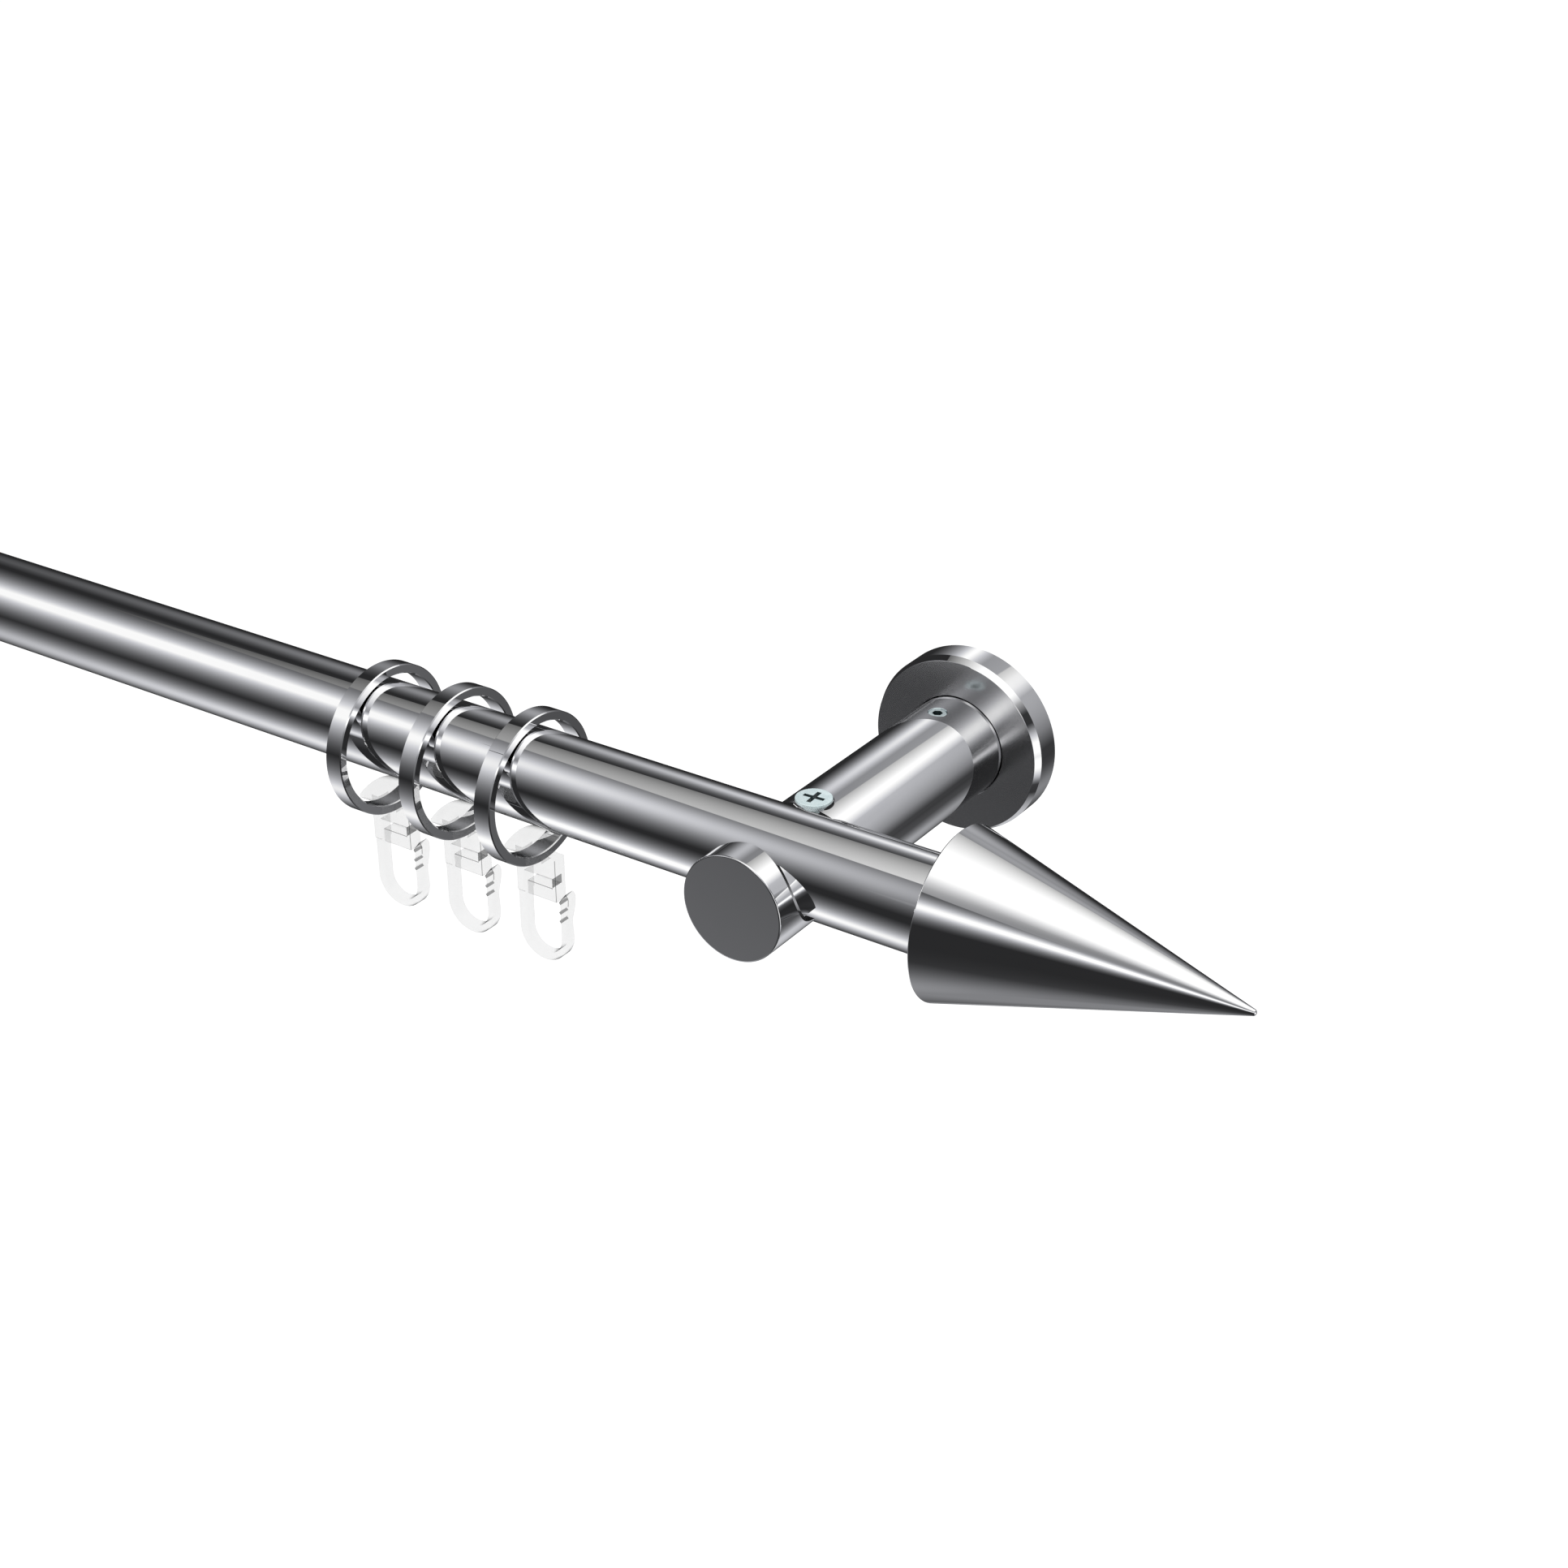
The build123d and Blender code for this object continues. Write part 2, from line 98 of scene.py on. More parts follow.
class Value:
    """A number that varies over a surface. Arithmetic on it adds Math nodes."""

    def __init__(self, wires: "Wires", socket: bpy.types.NodeSocket) -> None:
        """Wraps an output socket that gives the number, in the tree that wires stands for."""
        self.wires = wires
        self.socket = socket

    def _math(self, operation: str, *terms: "Value | float") -> "Value":
        """Adds a Math node that works on these terms, in the order of its sockets."""
        node = self.wires.add("ShaderNodeMath", {"operation": operation}, dict(enumerate(terms)))
        return Value(self.wires, node.outputs[0])

    def __add__(self, other: "Value | float") -> "Value":
        """Sum."""
        return self._math("ADD", self, other)

    def __radd__(self, other: float) -> "Value":
        """Sum with a plain number first."""
        return self._math("ADD", other, self)

    def __sub__(self, other: "Value | float") -> "Value":
        """Difference."""
        return self._math("SUBTRACT", self, other)

    def __rsub__(self, other: float) -> "Value":
        """Difference from a plain number."""
        return self._math("SUBTRACT", other, self)

    def __mul__(self, other: "Value | float") -> "Value":
        """Product."""
        return self._math("MULTIPLY", self, other)

    def __rmul__(self, other: float) -> "Value":
        """Product with a plain number first."""
        return self._math("MULTIPLY", other, self)

    def __truediv__(self, other: "Value | float") -> "Value":
        """Quotient."""
        return self._math("DIVIDE", self, other)

    def __pow__(self, other: float) -> "Value":
        """Power."""
        return self._math("POWER", self, other)

    def at_least(self, other: "Value | float") -> "Value":
        """The larger of the two."""
        return self._math("MAXIMUM", self, other)

    def at_most(self, other: "Value | float") -> "Value":
        """The smaller of the two."""
        return self._math("MINIMUM", self, other)

    def arc(self) -> "Value":
        """The angle in radians whose tangent this is."""
        return self._math("ARCTANGENT", self)

    def inside(self) -> "Value":
        """This number kept from 0 to 1."""
        return self.at_least(0.0).at_most(1.0)

    def between(self, low: float, high: float) -> "Value":
        """A soft step.

        Args:
            low: Where the step starts.
            high: Where it ends.

        Returns:
            0 up to low, 1 from high on, and a smooth rise between them.
        """
        settings = {"interpolation_type": "SMOOTHSTEP"}
        node = self.wires.add("ShaderNodeMapRange", settings, {0: self, 1: low, 2: high, 3: 0.0, 4: 1.0})
        return Value(self.wires, node.outputs[0])


class Wires:
    """A node tree, and the one way in which nodes are added to it."""

    def __init__(self, tree: bpy.types.NodeTree) -> None:
        """Empties a material's or the world's tree, to start from."""
        self.tree = tree
        self.tree.nodes.clear()

    def add(
        self, kind: str, settings: Settings | None = None, inputs: Inputs | None = None
    ) -> bpy.types.Node:
        """Adds a node.

        Args:
            kind: The node's type.
            settings: Its properties, which are set before its sockets.
            inputs: Values, colours or links, by the socket's name or number.

        Returns:
            The new node.
        """
        node = self.tree.nodes.new(kind)
        for name, setting in (settings or {}).items():
            setattr(node, name, setting)
        for name, given in (inputs or {}).items():
            if isinstance(given, Value):
                given = given.socket
            if isinstance(given, bpy.types.NodeSocket):
                self.tree.links.new(given, node.inputs[name])
            else:
                node.inputs[name].default_value = given
        return node

    def value(self, kind: str, settings: Settings | None, inputs: Inputs | None, output: int | str) -> Value:
        """Adds a node as add does, and gives the output of this name or number as a number."""
        return Value(self, self.add(kind, settings, inputs).outputs[output])

    def place(self, stretch: tuple[float, float, float] = (1.0, 1.0, 1.0)) -> bpy.types.NodeSocket:
        """The place on the object, each axis multiplied by its stretch."""
        inputs = {"Vector": self.add("ShaderNodeTexCoord").outputs["Object"], "Scale": stretch}
        return self.add("ShaderNodeMapping", None, inputs).outputs[0]

    def dot(self, direction: bpy.types.NodeSocket, other: Vector) -> Value:
        """The dot product of a direction and a fixed vector."""
        settings = {"operation": "DOT_PRODUCT"}
        return self.value("ShaderNodeVectorMath", settings, {0: direction, 1: other}, "Value")

    def noise(
        self, place: bpy.types.NodeSocket, size: float, detail: float = 3.0, roughness: float = 0.5
    ) -> Value:
        """Noise from 0 to 1 with spots of this size in metres, its finer layers, and how strong these are."""
        inputs = {"Vector": place, "Scale": 1.0 / size, "Detail": detail, "Roughness": roughness}
        return self.value("ShaderNodeTexNoise", None, inputs, 0)

    def blend(self, mask: Value, first: Any, second: Any) -> bpy.types.NodeSocket:
        """Mixes two colours or sockets, where a mask of 0 gives the first and 1 the second."""
        settings = {"data_type": "RGBA", "clamp_factor": True}
        return self.add("ShaderNodeMix", settings, {0: mask, 6: first, 7: second}).outputs[2]

    def bump(self, height: Value, depth: float) -> bpy.types.NodeSocket:
        """The normal of a height from 0 to 1, where 1 is this many metres."""
        return self.add("ShaderNodeBump", None, {"Height": height, "Distance": depth}).outputs[0]

    def surface(self, inputs: dict[str, Any]) -> bpy.types.NodeSocket:
        """A Principled surface with these inputs."""
        return self.add("ShaderNodeBsdfPrincipled", None, inputs).outputs[0]


@dataclass(frozen=True)
class Finish:
    """A surface finish, made once and shared by every piece that has it."""

    name: str

    def shade(self, wires: Wires) -> bpy.types.NodeSocket:
        """Builds the finish's nodes in the material's tree, and gives the shader's output."""
        raise NotImplementedError

    def material(self) -> bpy.types.Material:
        """The finish as a material, built at its first use.

        Returns:
            The material that all its pieces share.
        """
        made = bpy.data.materials.get(self.name)
        if made is None:
            made = bpy.data.materials.new(self.name)
            made.use_nodes = True
            wires = Wires(made.node_tree)
            wires.add("ShaderNodeOutputMaterial", None, {"Surface": self.shade(wires)})
        return made


@dataclass(frozen=True)
class Chrome(Finish):
    """Polished chrome plate, with the faint haze and hairlines that wiping leaves."""

    colour: Colour = (0.955, 0.955, 0.96, 1.0)
    hazed: Colour = (0.93, 0.93, 0.94, 1.0)
    polish: float = 0.012
    haze: float = 0.02
    haze_size: float = 0.018
    haze_starts: float = 0.46
    haze_full: float = 0.74
    hairline: float = 0.0006
    hairline_stretch: float = 9.0
    hairline_depth: float = 0.0000002

    def shade(self, wires: Wires) -> bpy.types.NodeSocket:
        """Builds the chrome's nodes.

        Args:
            wires: The material's tree.

        Returns:
            The shader's output.
        """
        cloud = wires.noise(wires.place(), self.haze_size, detail=5.0, roughness=0.6)
        haze = cloud.between(self.haze_starts, self.haze_full)
        stretch = self.hairline_stretch
        lines = wires.noise(wires.place((1.0, stretch, stretch)), self.hairline * stretch, detail=2.0)
        inputs = {
            "Base Color": wires.blend(haze, self.colour, self.hazed),
            "Metallic": 1.0,
            "Roughness": haze * self.haze + self.polish,
            "Normal": wires.bump(lines, self.hairline_depth),
        }
        return wires.surface(inputs)


@dataclass(frozen=True)
class Zinc(Finish):
    """Zinc plate with its pale passivation, mottled where the plating took unevenly."""

    colour: Colour = (0.84, 0.97, 0.985, 1.0)
    dull: Colour = (0.74, 0.88, 0.90, 1.0)
    metal: float = 0.35
    roughness: float = 0.30
    gloss: float = 0.5
    mottle: float = 0.10
    mottle_size: float = 0.0016
    mottle_starts: float = 0.35
    mottle_full: float = 0.68
    grain_finer: float = 5.0
    grain_depth: float = 0.000003

    def shade(self, wires: Wires) -> bpy.types.NodeSocket:
        """Builds the zinc's nodes.

        Args:
            wires: The material's tree.

        Returns:
            The shader's output.
        """
        place = wires.place()
        cloud = wires.noise(place, self.mottle_size, detail=4.0, roughness=0.6)
        mottle = cloud.between(self.mottle_starts, self.mottle_full)
        grain = wires.noise(place, self.mottle_size / self.grain_finer)
        inputs = {
            "Base Color": wires.blend(mottle, self.colour, self.dull),
            "Metallic": self.metal,
            "Specular IOR Level": self.gloss,
            "Roughness": mottle * self.mottle + self.roughness,
            "Normal": wires.bump(grain, self.grain_depth),
        }
        return wires.surface(inputs)


@dataclass(frozen=True)
class PlugPlastic(Finish):
    """Moulded polyethylene, matt, with a faint orange-peel skin."""

    colour: Colour = (0.30, 0.31, 0.32, 1.0)
    pale: Colour = (0.36, 0.37, 0.38, 1.0)
    roughness: float = 0.42
    cloud_size: float = 0.006
    cloud_haze: float = 0.14
    skin_size: float = 0.0009
    skin_depth: float = 0.00003

    def shade(self, wires: Wires) -> bpy.types.NodeSocket:
        """Builds the plastic's nodes.

        Args:
            wires: The material's tree.

        Returns:
            The shader's output.
        """
        place = wires.place()
        cloud = wires.noise(place, self.cloud_size, detail=4.0)
        skin = wires.noise(place, self.skin_size, detail=2.0)
        inputs = {
            "Base Color": wires.blend(cloud, self.colour, self.pale),
            "Roughness": cloud * self.cloud_haze + self.roughness,
            "Normal": wires.bump(skin, self.skin_depth),
        }
        return wires.surface(inputs)


@dataclass(frozen=True)
class ClearPlastic(Finish):
    """Clear moulded plastic, more opaque and darker where it is seen edge on as painted shade for the rims
    that refraction darkens, with faint flow marks.
    """

    colour: Colour = (0.42, 0.425, 0.43, 1.0)
    edge_shade_colour: Colour = (0.05, 0.052, 0.055, 1.0)
    body: float = 0.13
    flow: float = 0.05
    edge: float = 0.80
    edge_starts: float = 0.62
    edge_full: float = 0.97
    polish: float = 0.06
    refraction: float = 1.5
    flow_size: float = 0.003
    flow_haze: float = 0.06
    flow_stretch: tuple[float, float, float] = (1.0, 1.0, 0.35)
    flow_depth: float = 0.00002

    def shade(self, wires: Wires) -> bpy.types.NodeSocket:
        """Builds the clear plastic's nodes.

        Args:
            wires: The material's tree.

        Returns:
            The shader's output.
        """
        flow = wires.noise(wires.place(self.flow_stretch), self.flow_size)
        # Painted shade at grazing angles, for the dark rims that refraction gives
        facing = wires.value("ShaderNodeLayerWeight", None, {"Blend": 0.5}, "Facing")
        painted_edge_shade = facing.between(self.edge_starts, self.edge_full)
        inputs = {
            "Base Color": wires.blend(painted_edge_shade, self.colour, self.edge_shade_colour),
            "Alpha": flow * self.flow + painted_edge_shade * self.edge + self.body,
            "Roughness": flow * self.flow_haze + self.polish,
            "IOR": self.refraction,
            "Normal": wires.bump(flow, self.flow_depth),
        }
        return wires.surface(inputs)


@dataclass(frozen=True)
class PaleFloor(Finish):
    """The studio's pale floor, which a ray from the camera, from metal or through glass sees white."""

    colour: Colour = (0.80, 0.80, 0.80, 1.0)
    lift: float = 0.56

    def shade(self, wires: Wires) -> bpy.types.NodeSocket:
        """Builds the floor's nodes.

        Args:
            wires: The material's tree.

        Returns:
            The shader's output.
        """
        paper = wires.add("ShaderNodeBsdfDiffuse", None, {"Color": self.colour})
        seen = direct_view(wires)
        glow = wires.add("ShaderNodeEmission", None, {"Strength": seen * self.lift})
        return wires.add("ShaderNodeAddShader", None, {0: paper.outputs[0], 1: glow.outputs[0]}).outputs[0]


def direct_view(wires: Wires) -> Value:
    """Which rays see the background as it is.

    Args:
        wires: The tree that asks.

    Returns:
        1 for a ray from the camera, from metal or through glass, and 0 for others.
    """
    path = wires.add("ShaderNodeLightPath")
    camera = Value(wires, path.outputs["Is Camera Ray"])
    metal = Value(wires, path.outputs["Is Glossy Ray"])
    glass = Value(wires, path.outputs["Is Transmission Ray"])
    return camera.at_least(metal).at_least(glass)


def towards(azimuth: float, elevation: float) -> Vector:
    """A direction from the object.

    Args:
        azimuth: Degrees from the room side, towards the right-hand finial.
        elevation: Degrees above level.

    Returns:
        The unit vector.
    """
    turn, rise = math.radians(azimuth), math.radians(elevation)
    return Vector((math.sin(turn) * math.cos(rise), -math.cos(turn) * math.cos(rise), math.sin(rise)))


@dataclass(frozen=True)
class SoftLamp:
    """An oval soft lamp of the studio, as polished metal shows it: full at its core, and fading out evenly.

    Angles are in degrees. Width and height are tangents of the half angles where it has half faded. Core is
    where it starts to fade and reach where it ends, and level is its share of white as a picture shows it.
    """

    azimuth: float
    elevation: float
    turn: float
    width: float
    height: float
    core: float
    level: float
    reach: float = 1.1
    least_ahead: float = 0.02

    def seen(self, wires: Wires, direction: bpy.types.NodeSocket) -> Value:
        """How bright the lamp is in a direction.

        Args:
            wires: The tent's tree.
            direction: The unit direction.

        Returns:
            Its level there.
        """
        centre = towards(self.azimuth, self.elevation)
        level_side = towards(self.azimuth + 90.0, 0.0)
        steep_side = level_side.cross(centre)
        if steep_side.z < 0:
            steep_side.negate()
        turn = math.radians(self.turn)
        side = level_side * math.cos(turn) + steep_side * math.sin(turn)
        rise = steep_side * math.cos(turn) - level_side * math.sin(turn)
        ahead = wires.dot(direction, centre).at_least(self.least_ahead)
        across = wires.dot(direction, side) / (ahead * self.width)
        along = wires.dot(direction, rise) / (ahead * self.height)
        away = ((across * across + along * along) ** 0.5).arc()
        settings = {"interpolation_type": "LINEAR", "clamp": True}
        inputs = {0: away, 1: self.core, 2: self.reach, 3: self.level, 4: 0.0}
        return wires.value("ShaderNodeMapRange", settings, inputs, 0)


@dataclass(frozen=True)
class Ceiling:
    """The studio's flat overhead panel, turned by an eighth of a circle, with its sharp corner to the left.

    Its edges are given in the plane one unit above the object, along its own two sides.
    """

    near_edge: float = -0.622
    far_edge: float = 2.024
    right_edge: float = -1.074
    left_edge: float = 0.882
    sharp: float = 0.02
    fade: float = 0.805
    level: float = 1.107
    most: float = 1.1
    brighter_far: float = 0.294
    brighter_left: float = -0.705
    far_way: Vector = Vector((1.0, 1.0, 0.0)).normalized()
    left_way: Vector = Vector((-1.0, 1.0, 0.0)).normalized()

    def share(self, far: Value, left: Value) -> Value:
        """How much of a direction the panel fills.

        Args:
            far: Where the direction meets the panel's plane, along its first side.
            left: The same, along its second side.

        Returns:
            0 outside the panel and 1 inside it.
        """
        near = ((far - self.near_edge) / self.sharp).inside()
        distant = ((self.far_edge - far) / self.fade).inside()
        rightwards = ((left - self.right_edge) / self.fade).inside()
        leftwards = ((self.left_edge - left) / self.sharp).inside()
        return near * distant * (rightwards * leftwards)

    def shown(self, far: Value, left: Value) -> Value:
        """The panel's own level at a place on it."""
        shown = far * self.brighter_far + left * self.brighter_left + self.level
        return shown.at_least(0.0).at_most(self.most)


@dataclass(frozen=True)
class Tent(Finish):
    """The tent of soft lamps and dark gaps round the object, which only polished surfaces show."""

    gap: float = 0.184
    top: float = 1.06
    whitens: float = 0.8
    horizon: float = 0.05
    gamma: float = 2.2
    cool: Colour = (0.945, 0.955, 1.0, 1.0)
    neutral: Colour = (1.0, 1.0, 0.995, 1.0)
    ceiling: Ceiling = Ceiling()
    lamps: tuple[SoftLamp, ...] = (
        SoftLamp(-53.9, 31.8, -43.7, 0.536, 0.497, 0.196, 0.813),
        SoftLamp(-68.5, -55.3, -65.7, 0.560, 0.574, 0.144, 0.831),
        SoftLamp(-155.2, 25.4, 1.8, 0.363, 0.314, 0.119, 0.857),
        SoftLamp(38.9, 27.0, -9.2, 1.924, 0.242, 0.098, 1.035),
        SoftLamp(151.7, 33.2, 12.5, 3.082, 0.527, -0.001, 0.530),
        SoftLamp(112.5, -32.9, -41.4, 3.940, 0.405, 0.129, 0.920),
        SoftLamp(103.2, 28.8, -22.9, 1.074, 3.877, 0.261, 0.914),
        SoftLamp(-159.4, -70.8, 28.5, 0.381, 2.240, 0.209, 0.335),
        SoftLamp(6.2, -51.9, 0.4, 0.483, 0.322, 0.029, 0.071),
    )
    flags: tuple[SoftLamp, ...] = (
        SoftLamp(103.0, 30.0, 0.0, 0.40, 0.34, 0.55, 0.80),
        SoftLamp(122.0, -46.0, 0.0, 0.35, 0.22, 0.30, 0.75),
        SoftLamp(146.0, -27.7, 0.0, 0.24, 0.24, 0.40, 0.38),
    )
    strip: SoftLamp = SoftLamp(103.0, -6.0, 0.0, 0.30, 0.16, 0.45, 0.85)

    def shade(self, wires: Wires) -> bpy.types.NodeSocket:
        """Builds the tent's nodes.

        Args:
            wires: The material's tree.

        Returns:
            The shader's output.
        """
        inside = wires.add("ShaderNodeTexCoord").outputs["Object"]
        direction = wires.add("ShaderNodeVectorMath", {"operation": "NORMALIZE"}, {0: inside}).outputs[0]
        shown = self.lamps[0].seen(wires, direction)
        for lamp in self.lamps[1:]:
            shown = shown.at_least(lamp.seen(wires, direction))
        shown = shown + self.gap
        for flag in self.flags:
            shown = shown * (1.0 - flag.seen(wires, direction))
        shown = shown.at_least(self.strip.seen(wires, direction) + self.gap)
        rise = wires.dot(direction, UP)
        up = rise.at_least(self.horizon)
        far = wires.dot(direction, self.ceiling.far_way) / up
        left = wires.dot(direction, self.ceiling.left_way) / up
        share = self.ceiling.share(far, left) * (rise / self.horizon).inside()
        shown = shown * (1.0 - share) + self.ceiling.shown(far, left) * share
        strength = shown.at_most(self.top) ** self.gamma
        colour = wires.blend(share.at_least(shown.between(self.whitens, 1.0)), self.cool, self.neutral)
        return wires.add("ShaderNodeEmission", None, {"Color": colour, "Strength": strength}).outputs[0]


CHROME = Chrome("polished_chrome")
# Satin chrome for the rosette's faced front; its darker colour is painted shade, which also darkens the
# countersink round the arm
FACED_PAINTED_SHADE = Chrome(
    "faced_chrome_painted_shade",
    colour=(0.74, 0.74, 0.745, 1.0),
    hazed=(0.70, 0.70, 0.705, 1.0),
    polish=0.18,
    haze=0.04,
)
SCREW_ZINC = Zinc("bright_zinc")
GRUB_ZINC = Zinc(
    "oiled_zinc",
    colour=(0.80, 0.92, 0.94, 1.0),
    dull=(0.70, 0.81, 0.83, 1.0),
    metal=0.6,
    roughness=0.25,
)
PLATE_ZINC = Zinc(
    "cast_zinc",
    colour=(0.58, 0.59, 0.60, 1.0),
    dull=(0.47, 0.48, 0.49, 1.0),
    metal=0.9,
    roughness=0.38,
    mottle_size=0.004,
    grain_depth=0.00004,
)
# Painted shade in the screws' cross recess and hex socket, where little light reaches
PAINTED_SHADE_RECESS = Zinc(
    "painted_shade_zinc",
    colour=(0.035, 0.06, 0.063, 1.0),
    dull=(0.02, 0.035, 0.037, 1.0),
    roughness=0.4,
)
# Painted shade: the near black of the arm's slot, recess and screw hole, and of the pad's faces in the gap,
# where little light reaches
PAINTED_SHADE_BORE = Zinc(
    "painted_shade_bore",
    colour=(0.012, 0.012, 0.014, 1.0),
    dull=(0.03, 0.03, 0.032, 1.0),
    metal=0.0,
    roughness=0.6,
    gloss=0.05,
)
GREY_PLUG = PlugPlastic("grey_polyethylene")
CLEAR = ClearPlastic("clear_polycarbonate")
# Painted shade on the hooks: the latch's edge roundings, the stem's inner face and the teeth's undersides
PAINTED_SHADE_PLASTIC = ClearPlastic("clear_painted_shade", colour=(0.03, 0.032, 0.034, 1.0), body=0.72, edge=0.2)
FLOOR = PaleFloor("pale_floor")
TENT = Tent("studio_tent")


def dress(node: str, finish: Finish) -> bpy.types.Object:
    """Gives a CAD node its finish.

    Args:
        node: The CAD node's name.
        finish: The finish that it gets in each of its material slots.

    Returns:
        The node's object.
    """
    piece = bpy.data.objects[node]
    if not piece.material_slots:
        piece.data.materials.append(finish.material())
    for slot in piece.material_slots:
        slot.material = finish.material()
    LOG.info("%s is dressed with %s", node, finish.name)
    return piece


@dataclass
class Camera:
    """The camera, where the photograph was taken from."""

    place: tuple[float, float, float] = (0.2355609, -0.4208864, 0.2397657)
    azimuth: float = 33.982
    elevation: float = 27.678
    roll: float = 0.093
    lens: float = 58.3217
    sensor: float = 36.0
    nearest: float = 0.01
    farthest: float = 60.0

    def build(self) -> bpy.types.Object:
        """Makes the camera and sets it as the scene's.

        Returns:
            The camera.
        """
        data = bpy.data.cameras.new("camera")
        data.lens, data.sensor_width = self.lens, self.sensor
        data.clip_start, data.clip_end = self.nearest, self.farthest
        camera = bpy.data.objects.new("camera", data)
        bpy.context.scene.collection.objects.link(camera)
        back = towards(self.azimuth, self.elevation)
        aim = back.to_track_quat("Z", "Y").to_matrix().to_4x4()
        tilt = Matrix.Rotation(math.radians(self.roll), 4, "Z")
        camera.matrix_world = Matrix.Translation(Vector(self.place)) @ aim @ tilt
        bpy.context.scene.camera = camera
        return camera


@dataclass
class Studio:
    """The pale floor, the soft light, and the tent of lamps that the polished metal shows."""

    floor_size: float = 40.0
    floor_height: float = -1.25
    tent_radius: float = 12.0
    level: float = 0.576
    lamp_size: float = 2.4
    lamp_place: tuple[float, float, float] = (-0.4, -1.2, 2.6)
    lamp_power: float = 50.0

    def build_floor(self) -> bpy.types.Object:
        """Makes the floor, well below the rod.

        Returns:
            The floor.
        """
        mesh = bmesh.new()
        bmesh.ops.create_grid(mesh, x_segments=4, y_segments=4, size=self.floor_size / 2)
        bmesh.ops.translate(mesh, verts=mesh.verts, vec=(0.0, 0.0, self.floor_height))
        floor = finished("floor", mesh, FLOOR)
        # Mirror rays pass the floor and meet the tent
        floor.visible_glossy = False
        floor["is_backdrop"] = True
        return floor

    def build_tent(self) -> bpy.types.Object:
        """Makes the tent, which only mirror rays meet.

        Returns:
            The tent.
        """
        mesh = bmesh.new()
        bmesh.ops.create_icosphere(mesh, subdivisions=4, radius=self.tent_radius)
        tent = finished("tent", mesh, TENT)
        tent.visible_camera = False
        tent.visible_diffuse = False
        tent.visible_transmission = False
        tent.visible_shadow = False
        # Nothing matt is lit by the tent, so it isn't sampled as a lamp
        TENT.material().cycles.emission_sampling = "NONE"
        tent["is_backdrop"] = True
        return tent

    def build_light(self) -> bpy.types.Object:
        """Makes the soft lamp over the room and the even light round the object.

        Returns:
            The lamp.
        """
        world = bpy.data.worlds.new("studio")
        world.use_nodes = True
        bpy.context.scene.world = world
        wires = Wires(world.node_tree)
        seen = direct_view(wires)
        strength = seen * (1.0 - self.level) + self.level
        background = wires.add("ShaderNodeBackground", None, {"Color": WHITE, "Strength": strength})
        wires.add("ShaderNodeOutputWorld", None, {"Surface": background.outputs[0]})
        data = bpy.data.lights.new("soft_lamp", "AREA")
        data.shape, data.size, data.energy = "SQUARE", self.lamp_size, self.lamp_power
        lamp = bpy.data.objects.new("soft_lamp", data)
        bpy.context.scene.collection.objects.link(lamp)
        lamp.location = self.lamp_place
        lamp.rotation_mode = "QUATERNION"
        lamp.rotation_quaternion = Vector(self.lamp_place).to_track_quat("Z", "Y")
        lamp.visible_glossy = False
        return lamp


@dataclass(frozen=True)
class Round:
    """A surface that is round about an axis, between two radii."""

    centre: Vector
    axis: Vector
    inner: float
    outer: float

    def away(self, place: Vector) -> Vector:
        """The way from the axis to a place, square to the axis."""
        offset = place - self.centre
        return offset - self.axis * offset.dot(self.axis)

    def holds(self, places: list[Vector]) -> bool:
        """Whether all of these places lie between the two radii."""
        return all(self.inner - NEAR < self.away(place).length < self.outer + NEAR for place in places)

    def normal(self, place: Vector, facet: Vector) -> Vector:
        """The surface's own normal.

        Args:
            place: Where on it.
            facet: The normal of the flat facet there.

        Returns:
            The normal of the round surface that the facet stands for.
        """
        lean = facet.dot(self.axis)
        outwards = self.away(place).normalized() * math.sqrt(max(0.0, 1.0 - lean * lean))
        if outwards.dot(facet) < 0:
            outwards.negate()
        return (outwards + self.axis * lean).normalized()


def turned(
    profile: list[tuple[float, float]],
    centre: Vector,
    axis: Vector,
    closed: bool = False,
    steps: int = ROUND_STEPS,
) -> bmesh.types.BMesh:
    """Spins a profile once round an axis.

    Args:
        profile: Pairs of a place along the axis and a radius. An open profile starts and ends on the axis.
        centre: The point of the axis that places are counted from.
        axis: The axis's direction, one of the frame's own.
        closed: Whether the last point is joined to the first.
        steps: How many facets go round.

    Returns:
        The closed solid.
    """
    out = axis.yzx
    mesh = bmesh.new()
    points = [mesh.verts.new(centre + axis * along + out * radius) for along, radius in profile]
    for pair in zip(points, points[1:]):
        mesh.edges.new(pair)
    if closed:
        mesh.edges.new((points[-1], points[0]))
    shape = mesh.verts[:] + mesh.edges[:]
    bmesh.ops.spin(
        mesh, geom=shape, cent=centre, axis=axis, angle=math.tau, steps=steps, use_merge=True
    )
    bmesh.ops.remove_doubles(mesh, verts=mesh.verts, dist=DOUBLES)
    bmesh.ops.recalc_face_normals(mesh, faces=mesh.faces)
    return mesh


def quarter_round(top: float, radius: float, edge: float, points: int = 4) -> list[tuple[float, float]]:
    """The points of a rounded outer rim.

    Args:
        top: Where the flat top lies on the axis.
        radius: The rim's radius.
        edge: The rounding's radius.
        points: How many facets it has.

    Returns:
        Pairs of a place along the axis and a radius, from the side to the top.
    """
    turns = [math.pi / 2 * step / points for step in range(points + 1)]
    return [(top - edge * (1 - math.sin(turn)), radius - edge * (1 - math.cos(turn))) for turn in turns]


def bar(centre: Vector, axis: Vector, radius: float, start: float, stop: float) -> bmesh.types.BMesh:
    """A plain round bar.

    Args:
        centre: The point of its axis that its ends are counted from.
        axis: The axis's direction.
        radius: Its radius.
        start: Where it starts on the axis.
        stop: Where it ends.

    Returns:
        The closed solid.
    """
    return turned([(start, 0.0), (start, radius), (stop, radius), (stop, 0.0)], centre, axis)


